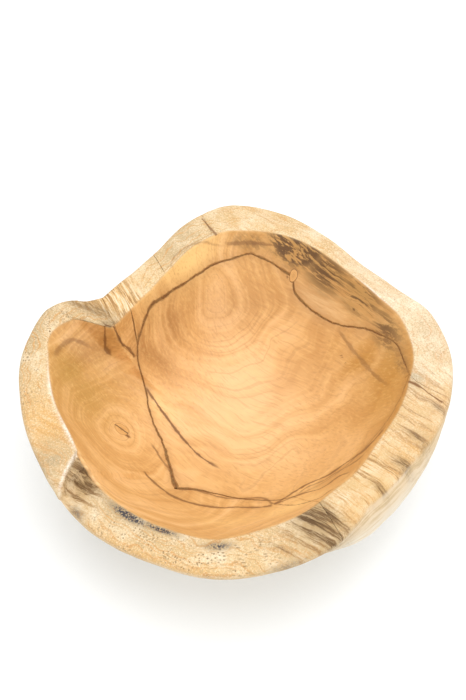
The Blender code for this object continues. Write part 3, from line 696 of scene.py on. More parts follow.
def middle_root():
    """Rays (bearing) by places (from the pole in the hollow to the pole under the foot)."""
    top_rows, fall_rows, under_rows = 92, 96, 26
    hollow_rows, upper_rows, bed = 20, 14, 4.25
    front_meeting_reach, right_meeting_reach = 0.0877, 0.1226
    front, right = front_crack(1), right_crack(-1)
    front_start = front(np.array(front_meeting_reach))
    right_start = right(np.array(right_meeting_reach))
    walled = np.linspace(right_start, front_start, 330)
    open_share = np.linspace(0, 1, 84)
    open_bearing = front_start + (right_start + 360 - front_start) * open_share
    bearing = np.concatenate([walled, open_bearing])
    reach = seam_reach(bearing) - seam_half(bearing) * seam_slant(bearing)
    first = np.minimum(place_at_reach(bearing, reach, 0, 1), 0.98)
    last = place_at_reach(bearing, reach, 4, 6)

    top = spread(first * 0, first, top_rows)
    under = spread(last, last * 0 + 6, under_rows + 1, last=True)[1:]
    count = len(walled)
    lower_rows = fall_rows - hollow_rows - LIP_ROWS - RIM_ROWS - CORNER_ROWS - upper_rows
    open_first, open_last = first[count:], last[count:]
    fall = over_the_rim(open_first, open_last, hollow_rows, upper_rows, lower_rows, bed + 0 * open_last)
    fall_bearing = between(front, lambda reach: right(reach) + 360, open_share, fall)
    fall_bearing[[0, -1]] = open_bearing
    places = np.vstack([top, np.zeros((fall_rows, len(bearing))), under])
    bearings = np.broadcast_to(bearing, places.shape).copy()
    rows = slice(top_rows, top_rows + fall_rows)
    places[rows, count:] = fall
    bearings[rows, count:] = fall_bearing
    places[rows, :count] = first[:count]
    points = carved(bearings, places, knot_sockets(skin(bearings, places)))
    low = carved(bearing, last)
    drop = np.linspace(0, 1, fall_rows)[:, None, None]
    points[rows, :count] = points[top_rows, :count] * (1 - drop) + low[:count] * drop

    numbers = np.arange(points[..., 0].size).reshape(places.shape)
    shared = np.r_[0 : top_rows, top_rows + fall_rows : len(places)]
    numbers[shared, count] = numbers[shared, count - 1]
    numbers[shared, -1] = numbers[shared, 0]
    numbers[top_rows, [count, -1]] = numbers[top_rows, [count - 1, 0]]
    numbers[0] = numbers[0, 0]
    numbers[-1] = numbers[-1, 0]
    closed = np.hstack([numbers, numbers[:, :1]])
    flat = points.reshape(-1, 3)
    values = finish_values(flat, bearings.ravel(), places.ravel())
    return make_piece("heart_wood", flat, [closed], values)


heart = middle_root()

# %% [markdown]
# ## The roots round the outside
#
# Every other root is a wall with a closed section: up the hollow, over the rim, down the outside and
# back up along its seam. Sweeping that loop from one crack to the next makes the wall, and the two
# end loops are closed with a ladder of faces that lies hidden in the crack.

# %% A wall swept from one crack to the next
CURTAIN_ROWS = 12


def wall_loops(start, end, share, rows, bed_height=0.030):
    """(places, bearings, points) of section loops, swept from the crack start to the crack end."""
    hollow_rows, upper_rows, lower_rows = rows
    bearing = between(start, end, share, np.full((1, len(share)), 0.6))[0]
    for _ in range(4):
        reach = seam_reach(bearing) + seam_half(bearing) * seam_slant(bearing)
        bearing = start(reach) * (1 - share) + end(reach) * share
    first = np.minimum(place_at_reach(bearing, reach, 0, 1), 0.98)
    last = place_at_reach(bearing, reach, 4, 6)
    bed = 5 - bed_height / outline("edge_height", bearing)
    places = over_the_rim(first, last, hollow_rows, upper_rows, lower_rows, bed)
    bearings = between(start, end, share, places)
    bearings[[0, -1]] = bearing
    points = carved(bearings, places, knot_sockets(skin(bearings, places)))
    climb = np.linspace(0, 1, CURTAIN_ROWS + 2)[1:-1, None, None]
    curtain = points[-1] * (1 - climb) + points[0] * climb
    inside = np.full((CURTAIN_ROWS, len(share)), INSIDE)
    return (
        np.vstack([places, inside]),
        np.vstack([bearings, np.broadcast_to(bearing, inside.shape)]),
        np.vstack([points, curtain]),
    )


def ladder(loop, first_column):
    """A closed end: vertex k of the loop is joined to the one as far round from the other side."""
    turned = np.roll(loop, CURTAIN_ROWS // 2)
    half = (len(turned) + 1) // 2
    ends = np.stack([turned[:half], turned[::-1][:half]])
    return ends if first_column else ends[::-1]


def wall_piece(name, loops):
    """A solid from swept loops: the loop closes on itself, and a ladder closes each end."""
    places, bearings, points = loops
    numbers = np.arange(places.size).reshape(places.shape)
    closed = np.vstack([numbers, numbers[:1]])
    grids = [closed, ladder(numbers[:, 0], True), ladder(numbers[:, -1], False)]
    flat = points.reshape(-1, 3)
    return make_piece(name, flat, grids, finish_values(flat, bearings.ravel(), places.ravel()))


def saddle_crack(side):
    """The saddle crack, opened up near the ring of seams, where the filling runs up into it."""
    opening, filled_to, closed_from = 0.00062, 0.088, 0.0915

    def bearing(reach):
        filled = opening * (1 - step(reach, filled_to, closed_from))
        return crack_bearing(SADDLE_CRACK, reach, side * (HAIRLINE + filled))

    return bearing


def wedge_crack(side):
    return lambda reach: crack_bearing(WEDGE_CRACK, reach, side * HAIRLINE)


lobe = wall_piece(
    "front_lobe_wood",
    wall_loops(wedge_crack(1), front_crack(-1), np.linspace(0, 1, 330), (78, 20, 48)),
)
wedge = wall_piece(
    "wedge_wood",
    wall_loops(saddle_crack(1), wedge_crack(-1), np.linspace(0, 1, 26), (48, 20, 48)),
)

# %% [markdown]
# ## The back wall and the block let into its rim
#
# A stretch of this root's rim ends at a straight joint and a notch, as if a rotten part had been cut
# out square and a sound block let in. How deep such a block goes can't be seen, so its depth here is
# a guess. The wall is swept in three runs that share their columns. In the middle run the rows that
# would cross the rim go down the inner face of the pocket and out along its bed, so the pocket is a
# real one. The block is a swept wall too, with its own rim, and it stands a hair proud of the old wood.

# %% The pocket and the block
POCKET_BED = 0.084 * SCALE[2]
POCKET_LIP = 0.0025
POCKET_RIGHT = ((-15.6, 118.5), (-33, 165))
POCKET_LEFT = ((-50.9, 84.7), (-73, 130))
FACE_ROWS, LIP_ON_RIM = 16, 3


def pocket_line(line, side):
    return lambda reach: crack_bearing(line, reach, side * HAIRLINE)


def rim_place(bearings, beyond_mouth):
    """The place on the rim that lies this far outside the mouth."""
    width = outline("edge", bearings) - EDGE_ROUND - outline("mouth", bearings) - MOUTH_ROUND
    return 2 + (beyond_mouth - MOUTH_ROUND) / width


def back_wall():
    """Three runs of loops side by side. In the middle one the rim's rows follow the pocket."""
    rows = (40, 20, 40)
    first_row = rows[0] + LIP_ROWS
    last_row = first_row + RIM_ROWS + CORNER_ROWS + rows[1]
    bed = POCKET_BED
    runs = (
        (right_crack(1), pocket_line(POCKET_RIGHT, -1), 230),
        (pocket_line(POCKET_RIGHT, -1), pocket_line(POCKET_LEFT, 1), 64),
        (pocket_line(POCKET_LEFT, 1), saddle_crack(-1), 62),
    )
    loops = [wall_loops(start, end, np.linspace(0, 1, count), rows, bed) for start, end, count in runs]
    places, bearings, points = loops[1]
    lip = rim_place(bearings[first_row], POCKET_LIP)
    on_rim = spread(2 + 0 * lip, lip, LIP_ON_RIM)
    rim_bearings = np.broadcast_to(bearings[first_row + LIP_ON_RIM], on_rim.shape)
    corner = carved(bearings[first_row + LIP_ON_RIM], lip)
    floor_in = corner * (1, 1, 0) + (0, 0, bed)
    floor_out = points[last_row]
    down = np.linspace(0, 1, FACE_ROWS, endpoint=False)[:, None, None]
    bed_rows = last_row - first_row - LIP_ON_RIM - FACE_ROWS
    out = np.linspace(0, 1, bed_rows, endpoint=False)[:, None, None]
    face = corner * (1 - down) + floor_in * down
    bed_surface = floor_in * (1 - out) + floor_out * out
    points[first_row:last_row] = np.vstack([carved(rim_bearings, on_rim), face, bed_surface])
    places[first_row + LIP_ON_RIM : last_row] = INSIDE
    numbers = [np.arange(run[0].size).reshape(run[0].shape) for run in loops]
    numbers[1] += numbers[0].size
    numbers[2] += numbers[1].max() + 1
    same = np.r_[0 : first_row + 1, last_row : len(places)]
    numbers[1][same, 0] = numbers[0][same, -1]
    numbers[2][same, 0] = numbers[1][same, -1]
    pieces = [np.vstack([grid, grid[:1]]) for grid in numbers]
    for left, right in ((0, 1), (1, 2)):
        seam_pair = np.stack([numbers[left][:, -1], numbers[right][:, 0]], axis=1)
        pieces.append(seam_pair[first_row : last_row + 1])
    pieces += [ladder(numbers[0][:, 0], True), ladder(numbers[2][:, -1], False)]
    flat = np.vstack([run[2].reshape(-1, 3) for run in loops])
    place = np.concatenate([run[0].ravel() for run in loops])
    bearing = np.concatenate([run[1].ravel() for run in loops])
    return make_piece("back_wall_wood", flat, pieces, finish_values(flat, bearing, place))


def rim_block():
    """Loops over the rim from the pocket's lip, down the outside to its bed, and back inside."""
    proud = 0.00022
    share = np.linspace(0, 1, 60)
    start, end = pocket_line(POCKET_RIGHT, 1), pocket_line(POCKET_LEFT, -1)
    bearing = between(start, end, share, np.full((1, 60), 2.2))[0]
    first = rim_place(bearing, POCKET_LIP + 0.5 * HAIRLINE)
    last = 5 - (POCKET_BED + 2 * HAIRLINE) / outline("edge_height", bearing)
    one = np.ones_like(first)
    places = np.vstack([spread(first, 3 * one, 34), spread(3 * one, 4 * one, CORNER_ROWS),
                        spread(4 * one, last, 20, last=True)])
    bearings = between(start, end, share, places)
    points = carved(bearings, places, -proud * np.ones_like(places))
    foot = points[0] * (1, 1, 0) + (0, 0, POCKET_BED + 2 * HAIRLINE)
    along_bed = np.linspace(0, 1, 16)[1:-1, None, None]
    up_face = np.linspace(0, 1, 14, endpoint=False)[:, None, None]
    under_block = points[-1] * (1 - along_bed) + foot * along_bed
    inner_face = foot * (1 - up_face) + points[0] * up_face
    hidden = np.vstack([under_block, inner_face])
    inside = np.full(hidden.shape[:2], INSIDE)
    loops = (
        np.vstack([places, inside]),
        np.vstack([bearings, np.broadcast_to(bearing, inside.shape)]),
        np.vstack([points, hidden]),
    )
    return wall_piece("rim_block", loops)


back = back_wall()
block = rim_block()

# %% [markdown]
# ## Fillings
#
# Bark and hardened sap fill the wide seams. They were sanded with the hollow, but they are brittle
# and stand a little lower than the wood. Each filling is a thin ribbon: a closed section carried
# along the seam, whose top follows the hollow and is pitted with noise.

# %% Ribbons of bark
TOP_ROWS = 9


def seam_path(first, last, count, lead=0):
    """Plan points along the ring of seams between two bearings, after a lead down the saddle crack."""
    bearing = np.linspace(first, last, count)
    reach = seam_reach(bearing)
    half = seam_half(bearing)
    if lead:
        lead_reach = np.linspace(0.0905, seam_reach(first) + 0.0006, lead)
        bearing = np.concatenate([crack_bearing(SADDLE_CRACK, lead_reach, 0.0), bearing])
        half = np.concatenate([np.linspace(0.0003, half[0], lead), half])
        reach = np.concatenate([lead_reach, reach])
    turn = np.radians(bearing)
    return np.stack([reach * np.cos(turn), reach * np.sin(turn)], -1), half


def filling(name, path, half, sink):
    """Rows across the ribbon's closed section by columns along its path: over its pitted top, down
    its right side, under it and up its left side. sink is how deep the pits are."""
    heading = np.gradient(path, axis=0)
    heading /= np.linalg.norm(heading, axis=1)[:, None]
    aside = np.stack([-heading[:, 1], heading[:, 0]], -1)
    across = np.linspace(-1, 1, TOP_ROWS)[:, None]
    plan = path + across[..., None] * aside * (half * 1.12 + 0.00008)[:, None]
    bearings, reach = np.degrees(np.arctan2(plan[..., 1], plan[..., 0])), np.linalg.norm(plan, axis=-1)
    places = place_at_reach(bearings, reach, 0, 1)
    top = carved(bearings, places)
    pits = sink * (0.6 + 0.8 * np.maximum(layered(top, 0.0022, 3), -0.6))
    top[..., 2] -= pits * (1 - 0.7 * across**4)
    foot = place_at_reach(bearings[[0, -1]], reach[[0, -1]], 4, 6)
    low = carved(bearings[[0, -1]], foot) + (0, 0, 0.0006)
    fall = np.linspace(0, 1, 8)[1:-1, None, None]
    right = top[-1] * (1 - fall) + low[1] * fall
    left = low[0] * (1 - fall) + top[0] * fall
    points = np.vstack([top, right, low[::-1], left])
    numbers = np.arange(points[..., 0].size).reshape(points.shape[:2])
    ends = []
    for column, flip in ((0, 1), (-1, -1)):
        loop = np.roll(numbers[:, column], -4)
        half_way = (len(loop) + 1) // 2
        ends.append(np.stack([loop[:half_way], loop[::-1][:half_way]])[::flip])
    flat = points.reshape(-1, 3)
    edge_on = np.append(np.abs(across[:, 0]), np.ones(len(points) - len(across)))
    values = {"across": edge_on.repeat(len(path))}
    return make_piece(name, flat, [np.vstack([numbers, numbers[:1]]), *ends], values)


bark_left = filling("bark_left", *seam_path(149.3, 236.0, 260, lead=18), 0.0004)
bark_front = filling("bark_front", *seam_path(236.3, 298.4, 150), 0.0003)
bark_back = filling("bark_back", *seam_path(148.8, 66.0, 250), 0.00022)
bark_right = filling("bark_right", *seam_path(64.2, -2.2, 220), 0.00022)

# %% [markdown]
# ## Knots
#
# A knot is the stub of a side root. Its rings run across the surface, it is denser than the wood
# round it, and it holds in a tapered hole. Each is a peg whose top is a disc of rings laid on the
# hollow, slightly crowned, because a hard knot sands away more slowly than the wood round it.

# %% Tapered pegs
PEG_DEPTH = 0.0135
TOP_RINGS, SIDE_RINGS = 22, 12


def knot(name, centre, radius):
    """Rings from a pole on the top of the peg, over its edge and down its side to a pole below."""
    around = np.linspace(0, 2 * math.pi, 72, endpoint=False)
    out = np.concatenate([np.linspace(0, 1, TOP_RINGS), np.full(SIDE_RINGS, 1.0), [0.0]])[:, None]
    side = np.linspace(0.0002, PEG_DEPTH, SIDE_RINGS)
    depth = np.concatenate([np.zeros(TOP_RINGS), side, [PEG_DEPTH]])[:, None]
    oval = radius * out * (1 - 0.2 * depth / PEG_DEPTH) * (1 + 0.05 * np.sin(3 * around + centre[0]))
    plan = np.stack([oval * np.cos(around), oval * np.sin(around)], -1) + at_size(centre)
    bearings, reach = np.degrees(np.arctan2(plan[..., 1], plan[..., 0])), np.linalg.norm(plan, axis=-1)
    places = place_at_reach(bearings, reach, 0, 1)
    normals = outward(bearings, places)
    crown = 0.00016 * (1 - out**6) + 0.00002
    points = carved(bearings, places) + normals * (crown - depth)[..., None]
    numbers = np.arange(places.size).reshape(places.shape)
    numbers[0], numbers[-1] = numbers[0, 0], numbers[-1, 0]
    radial = np.broadcast_to(out, places.shape)
    values = {"out": radial.ravel(), "round": np.broadcast_to(around, places.shape).ravel()}
    flat = points.reshape(-1, 3)
    return make_piece(name, flat, [np.hstack([numbers, numbers[:, :1]])], values)


knot_back = knot("knot_back_stub", KNOT_BACK, KNOT_BACK_RADIUS)
knot_left = knot("knot_left_stub", KNOT_LEFT, KNOT_LEFT_RADIUS)

# %% [markdown]
# ## One piece for each solid
#
# Nothing on the bowl moves, so every piece rides on the root body. Each one takes the place of one
# plain solid, and has the slot of what it is made of: four roots, the block, the bark and the knots.

# %% Which piece stands for which solid
PIECES = (
    (heart, "root_heart", "heart_wood"),
    (back, "root_back_wall", "back_wood"),
    (lobe, "root_front_lobe", "lobe_wood"),
    (wedge, "saddle_wedge", "wedge_wood"),
    (block, "rim_patch", "patch_wood"),
    (bark_left, "seam_fill_left", "seam_filling"),
    (bark_front, "seam_fill_front", "seam_filling"),
    (bark_back, "seam_fill_back", "seam_filling"),
    (bark_right, "seam_fill_right", "seam_filling"),
    (knot_back, "knot_back", "knot_wood"),
    (knot_left, "knot_left", "knot_wood"),
)
for piece, node, slot_name in PIECES:
    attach(piece, "root")
    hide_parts(node)

# %% [markdown]
# ## How a wood finish is put together
#
# Root wood shows three things at once: growth rings cut at a slant, which make the big swirls; fine
# fibres and pores along the grain; and patches where the wood has coloured. A picture of wood would
# repeat and stretch. Noise worked out in the object's own coordinates runs through the wood as real
# figure does. A small helper keeps each node to one line, so that a finish reads like a recipe.

# %% A short hand for shader nodes


class Finish:
    """One material. Each method adds a node and returns its output."""

    def __init__(self, name, specular=0.5):
        self.material = bpy.data.materials.new(name)
        self.material.use_nodes = True
        self.tree = self.material.node_tree
        self.shader = self.tree.nodes["Principled BSDF"]
        self.shader.inputs["Specular IOR Level"].default_value = specular
        self.place = self.tree.nodes.new("ShaderNodeTexCoord").outputs["Object"]

    def node(self, kind, values, **settings):
        """A node with its settings and its inputs, each a number, a colour or another node's output."""
        node = self.tree.nodes.new(kind)
        for name, setting in settings.items():
            setattr(node, name, setting)
        for key, value in values:
            self.fill(node.inputs[key], value)
        return node

    def fill(self, socket, value):
        if isinstance(value, bpy.types.NodeSocket):
            self.tree.links.new(value, socket)
        else:
            socket.default_value = value

    def stored(self, name):
        """The three numbers of a value stored on the mesh."""
        return self.node("ShaderNodeSeparateXYZ", [(0, self.stored_vector(name))]).outputs

    def stored_vector(self, name):
        return self.node("ShaderNodeAttribute", [], attribute_name=name).outputs["Vector"]

    def math(self, operation, *values):
        return self.node("ShaderNodeMath", enumerate(values), operation=operation).outputs[0]

    def times(self, *values):
        result = values[0]
        for value in values[1:]:
            result = self.math("MULTIPLY", result, value)
        return result

    def plus(self, *values):
        result = values[0]
        for value in values[1:]:
            result = self.math("ADD", result, value)
        return result

    def lined_up(self, vector, centre=(0, 0, 0), turn=(0, 0, 0), stretch=(1, 1, 1)):
        """The vector seen from a centre and turned, so that a pattern on it is stretched along its axes."""
        values = [("Vector", vector), ("Location", centre), ("Rotation", turn), ("Scale", stretch)]
        return self.node("ShaderNodeMapping", values, vector_type="TEXTURE").outputs[0]

    def noise(self, vector, scale, detail=2.0, roughness=0.5):
        values = [("Vector", vector), ("Scale", scale), ("Detail", detail), ("Roughness", roughness)]
        return self.node("ShaderNodeTexNoise", values).outputs["Fac"]

    def bands(self, number, scale, detail=2.0):
        """Noise along a line: bands of uneven width and tone."""
        values = [("W", number), ("Scale", scale), ("Detail", detail)]
        return self.node("ShaderNodeTexNoise", values, noise_dimensions="1D").outputs["Fac"]

    def dots(self, vector, scale):
        """Distance to the nearest of many scattered points."""
        return self.node("ShaderNodeTexVoronoi", [("Vector", vector), ("Scale", scale)]).outputs["Distance"]

    def warp(self, vector, scale, amount):
        """The vector pushed about by noise, so that straight patterns swirl. Half the amount is taken
        off again, because the noise is 0.5 on average and would otherwise shift the whole pattern."""
        push = self.node("ShaderNodeTexNoise", [("Vector", vector), ("Scale", scale)]).outputs["Color"]
        values = [(0, push), (1, (amount,) * 3), (2, vector)]
        pushed = self.node("ShaderNodeVectorMath", values, operation="MULTIPLY_ADD").outputs[0]
        middle = [(0, pushed), (1, (amount / 2,) * 3)]
        return self.node("ShaderNodeVectorMath", middle, operation="SUBTRACT").outputs[0]

    def length(self, vector):
        return self.node("ShaderNodeVectorMath", [(0, vector)], operation="LENGTH").outputs["Value"]

    def ramp(self, value, start, end, low=0.0, high=1.0):
        """low up to start, high from end on, and smooth between."""
        values = enumerate((value, start, end, low, high))
        return self.node("ShaderNodeMapRange", values, interpolation_type="SMOOTHSTEP").outputs[0]

    def mix(self, share, first, second):
        node = self.node("ShaderNodeMix", [], data_type="RGBA")
        self.fill(node.inputs["Factor"], share)
        for socket, colour in ((node.inputs[6], first), (node.inputs[7], second)):
            self.fill(socket, colour if isinstance(colour, bpy.types.NodeSocket) else (*colour, 1.0))
        return node.outputs[2]

    def coat(self, colour, roughness, height, depth):
        """Colour and roughness on the shader, and a height of about 0 to 1, depth metres deep, as bump."""
        self.fill(self.shader.inputs["Base Color"], colour)
        self.fill(self.shader.inputs["Roughness"], roughness)
        bump = self.node("ShaderNodeBump", [("Distance", depth), ("Height", height)])
        self.fill(self.shader.inputs["Normal"], bump.outputs[0])
        return self.material


# %% [markdown]
# ## The colours of the wood
#
# All of them are linear colours. Teak root is honey gold where it was oiled, and bleaches to cream
# and straw where it is bare. Water and fungus draw olive and umber streaks, iron leaves blue-black.
# The bright gold also serves for painted light, and the near white for a painted highlight.

# %% Colours
PEACH = (0.88, 0.55, 0.265)
HONEY = (0.76, 0.44, 0.165)
DEEP_HONEY = (0.62, 0.325, 0.105)
BROWN = (0.42, 0.205, 0.068)
GREEN_GOLD = (0.50, 0.285, 0.072)
AMBER = (0.54, 0.265, 0.055)
# A bright gold: pale fibres and bright rings of the grain, and also painted light on the walls that face the
# light.
GOLD_GRAIN_AND_PAINTED_LIGHT = (0.96, 0.64, 0.26)
CREAM = (0.80, 0.605, 0.365)
STRAW = (0.69, 0.47, 0.22)
BLEACHED = (0.88, 0.76, 0.55)
ASH_GREY = (0.42, 0.33, 0.20)
ORANGE_TINT = (0.74, 0.42, 0.13)
UMBER = (0.14, 0.070, 0.025)
OLIVE_BROWN = (0.25, 0.140, 0.050)
SPALT_GREY = (0.50, 0.285, 0.092)
INK = (0.055, 0.050, 0.058)
VEIN_BROWN = (0.20, 0.088, 0.028)
SHELL_GREY = (0.87, 0.83, 0.74)
# A near white for the painted highlight along the rim's edges.
HIGHLIGHT_WHITE = (0.95, 0.92, 0.85)

# %% [markdown]
# ## The oiled hollow
#
# The hollow was sanded and oiled, which brings out the figure. Each root has its own pith, the line
# that its rings grew round. The swirls are bands of uneven width in the distance from that line,
# after the wood has been pushed about a little. Fibres run along the grain as fine streaks. Over this
# lie the coloured patches, painted light that brightens the walls facing the light, and on the back
# root the dark streaks and worm holes of old decay.

# %% Colour of the hollow


def figured(wood, pith, turn, ring_scale, grain):
    """Swirls round a pith and fibres along the grain: a base colour, and the tone of the fibres."""
    pushed = wood.warp(wood.warp(wood.place, 11.0, 0.050), 45.0, 0.008)
    from_pith = wood.length(wood.lined_up(pushed, pith, turn, (1, 1, 4.5)))
    wide = wood.bands(from_pith, ring_scale, 3.0)
    narrow = wood.bands(from_pith, ring_scale * 5.0, 2.0)
    along = wood.warp(wood.warp(wood.place, 14.0, 0.018), 60.0, 0.003)
    fibre = wood.noise(wood.lined_up(along, turn=grain, stretch=(15, 1, 2)), 650.0, 4.0, 0.66)
    cloud = wood.noise(wood.place, 20.0, 4.0, 0.6)
    pale, brown, painted_light = wood.stored("tones_and_painted_light")
    eye = wood.stored("zone")[2]
    green, amber, crescent = wood.stored("casts")
    swirl = wood.plus(wood.times(wide, 0.55), wood.times(cloud, 0.45))
    colour = wood.mix(wood.ramp(swirl, 0.36, 0.60), DEEP_HONEY, HONEY)
    colour = wood.mix(wood.ramp(swirl, 0.48, 0.68, 0.0, 0.7), colour, PEACH)
    colour = wood.mix(wood.times(pale, wood.ramp(swirl, 0.38, 0.58, 0.60, 1.0)), colour, PEACH)
    colour = wood.mix(wood.times(green, wood.ramp(swirl, 0.4, 0.65, 0.95, 0.55)), colour, GREEN_GOLD)
    colour = wood.mix(wood.times(amber, wood.ramp(swirl, 0.4, 0.65, 0.95, 0.65)), colour, AMBER)
    # Painted light: brighter gold on the walls that face the light.
    colour = wood.mix(wood.times(painted_light, 0.95), colour, GOLD_GRAIN_AND_PAINTED_LIGHT)
    colour = wood.mix(wood.times(brown, wood.ramp(swirl, 0.40, 0.62, 0.85, 0.30)), colour, BROWN)
    patchy = wood.ramp(cloud, 0.42, 0.60)
    line_share = wood.math("MAXIMUM", wood.times(eye, 0.6), wood.times(patchy, 0.26))
    colour = wood.mix(wood.times(wood.ramp(narrow, 0.34, 0.43, 1.0, 0.0), line_share), colour, BROWN)
    bright_share = wood.plus(0.08, wood.times(eye, 0.3))
    colour = wood.mix(wood.times(wood.ramp(narrow, 0.56, 0.70), bright_share), colour, GOLD_GRAIN_AND_PAINTED_LIGHT)
    colour = wood.mix(wood.ramp(fibre, 0.36, 0.48, 0.28, 0.0), colour, BROWN)
    colour = wood.mix(wood.ramp(fibre, 0.52, 0.66, 0.0, 0.24), colour, GOLD_GRAIN_AND_PAINTED_LIGHT)
    colour = wood.mix(wood.times(crescent, wood.ramp(fibre, 0.35, 0.6, 0.30, 0.60)), colour, CREAM)
    return colour, fibre


def decayed(wood, colour, spalt):
    """Olive and umber streaks along the wall, and worm holes, where old decay got into the back root."""
    wall_turn = (0, 0, math.radians(-44))
    along_wall = wood.lined_up(wood.warp(wood.place, 40.0, 0.005), turn=wall_turn, stretch=(20, 1, 2))
    streaks = wood.noise(along_wall, 480.0, 5.0, 0.68)
    broad = wood.noise(along_wall, 150.0, 3.0, 0.6)
    greyed = wood.times(wood.ramp(spalt, 0.0, 0.8), wood.ramp(broad, 0.38, 0.64, 0.95, 0.40))
    colour = wood.mix(greyed, colour, SPALT_GREY)
    dark = wood.times(wood.ramp(spalt, 0.1, 0.8), wood.ramp(streaks, 0.44, 0.56, 0.9, 0.0))
    colour = wood.mix(dark, colour, OLIVE_BROWN)
    darker = wood.times(wood.ramp(spalt, 0.6, 1.05), wood.ramp(streaks, 0.44, 0.53, 0.95, 0.0))
    colour = wood.mix(darker, colour, UMBER)
    holes = wood.dots(wood.lined_up(wood.place, turn=wall_turn, stretch=(1.8, 1, 1)), 110.0)
    bored = wood.times(wood.ramp(spalt, 0.3, 0.6), wood.ramp(holes, 0.05, 0.12, 0.9, 0.0))
    return wood.mix(bored, colour, UMBER)


# %% [markdown]
# ## The bare rim and the outside
#
# The rim was only sawn and brushed. It is end grain that has bleached to cream and straw, gritty to
# the touch, with open pores, streaks that run from the mouth to the edge, an umber band where water
# followed the front crack, blue-black iron stains, and torn fibres on the saddle at the left. The
# outside was shaved to pale grey-cream wood, in soft streaks that run round the bowl.

# %% Colour of the rim and the outside


def bare_rim(wood, unrolled, grain_turn):
    """Colour and height of the rim. unrolled holds the arc length round it, the reach and the height."""
    _, umber, ink = wood.stored("stains")
    grey, orange, painted_highlight_and_paling = wood.stored("rim_casts_and_highlight")
    grained, speckled, saddle = wood.stored("rim_marks")
    saddle = wood.times(saddle, wood.math("SUBTRACT", 1.0, wood.stored("zone")[1]))
    cloud = wood.noise(wood.place, 55.0, 5.0, 0.62)
    grit = wood.noise(wood.place, 900.0, 4.0, 0.7)
    grain_place = wood.lined_up(wood.warp(wood.place, 60.0, 0.005), (0, 0, 0), grain_turn, (13, 1, 3))
    grain = wood.noise(grain_place, 950.0, 5.0, 0.72)
    coarse = wood.noise(grain_place, 230.0, 3.0, 0.6)
    lines = wood.ramp(wood.plus(wood.times(grain, 0.6), wood.times(coarse, 0.4)), 0.42, 0.53, 1.0, 0.0)

    colour = wood.mix(wood.ramp(cloud, 0.36, 0.62), STRAW, CREAM)
    colour = wood.mix(wood.ramp(cloud, 0.54, 0.72, 0.0, 0.8), colour, BLEACHED)
    colour = wood.mix(wood.times(orange, wood.ramp(coarse, 0.35, 0.65, 0.9, 0.45)), colour, ORANGE_TINT)
    colour = wood.mix(wood.times(grey, wood.ramp(cloud, 0.38, 0.62, 0.8, 0.35)), colour, ASH_GREY)
    colour = wood.mix(wood.times(lines, wood.ramp(grained, 0.0, 0.9, 0.12, 0.90)), colour, DEEP_HONEY)
    in_grain = wood.ramp(grained, 0.3, 0.9, 0.0, 0.60)
    deep_lines = wood.times(lines, in_grain, wood.ramp(coarse, 0.42, 0.5, 1.0, 0.0))
    colour = wood.mix(deep_lines, colour, OLIVE_BROWN)
    ring_place = wood.lined_up(wood.warp(wood.place, 38.0, 0.03), (0.02, 0.01, 0.2))
    rings = wood.bands(wood.length(ring_place), 420.0, 1.0)
    ring_share = wood.times(wood.ramp(cloud, 0.40, 0.62, 0.85, 0.2), wood.math("SUBTRACT", 1.1, grained))
    colour = wood.mix(wood.times(wood.ramp(rings, 0.38, 0.45, 1.0, 0.0), ring_share), colour, DEEP_HONEY)
    gritty = wood.ramp(grained, 0.2, 1.0, 1.0, 0.35)
    colour = wood.mix(wood.times(gritty, wood.ramp(grit, 0.40, 0.49, 0.50, 0.0)), colour, ASH_GREY)
    colour = wood.mix(wood.times(gritty, wood.ramp(grit, 0.52, 0.62, 0.0, 0.50)), colour, BLEACHED)
    colour = wood.mix(wood.times(umber, wood.ramp(coarse, 0.34, 0.62, 1.0, 0.40)), colour, OLIVE_BROWN)
    colour = wood.mix(wood.times(umber, lines, 0.85), colour, UMBER)

    pores = wood.ramp(wood.dots(unrolled, 520.0), 0.20, 0.36, 0.8, 0.0)
    large_pores = wood.ramp(wood.dots(wood.place, 190.0), 0.06, 0.15, 1.0, 0.0)
    pore_here = wood.ramp(wood.noise(wood.place, 110.0, 3.0), 0.42, 0.58)
    specks = wood.times(wood.plus(pores, large_pores), pore_here, wood.ramp(speckled, 0.0, 1.0, 0.12, 0.9))
    colour = wood.mix(specks, colour, OLIVE_BROWN)
    colour = wood.mix(wood.times(ink, wood.ramp(grit, 0.38, 0.54)), colour, INK)
    # Painted highlight: a white line along the rounded mouth and the broken step, and a faint paling on the
    # right.
    colour = wood.mix(wood.times(painted_highlight_and_paling, wood.ramp(grit, 0.38, 0.54, 0.35, 1.0)), colour, HIGHLIGHT_WHITE)

    torn_turn = (0, 0, math.radians(118))
    torn_place = wood.lined_up(wood.warp(wood.place, 55.0, 0.004), turn=torn_turn, stretch=(13, 1, 3))
    strands = wood.noise(torn_place, 700.0, 4.0, 0.65)
    colour = wood.mix(wood.times(saddle, 0.65), colour, ORANGE_TINT)
    colour = wood.mix(wood.times(saddle, wood.ramp(strands, 0.50, 0.60, 0.0, 0.75)), colour, BLEACHED)
    torn = wood.times(saddle, wood.ramp(strands, 0.38, 0.48, 0.9, 0.0))
    colour = wood.mix(torn, colour, BROWN)
    dug = wood.times(wood.plus(specks, torn, wood.times(umber, lines)), -0.6)
    height = wood.plus(wood.times(grain, 0.5), wood.times(grit, 0.45), wood.times(cloud, 0.5), dug)
    return colour, height


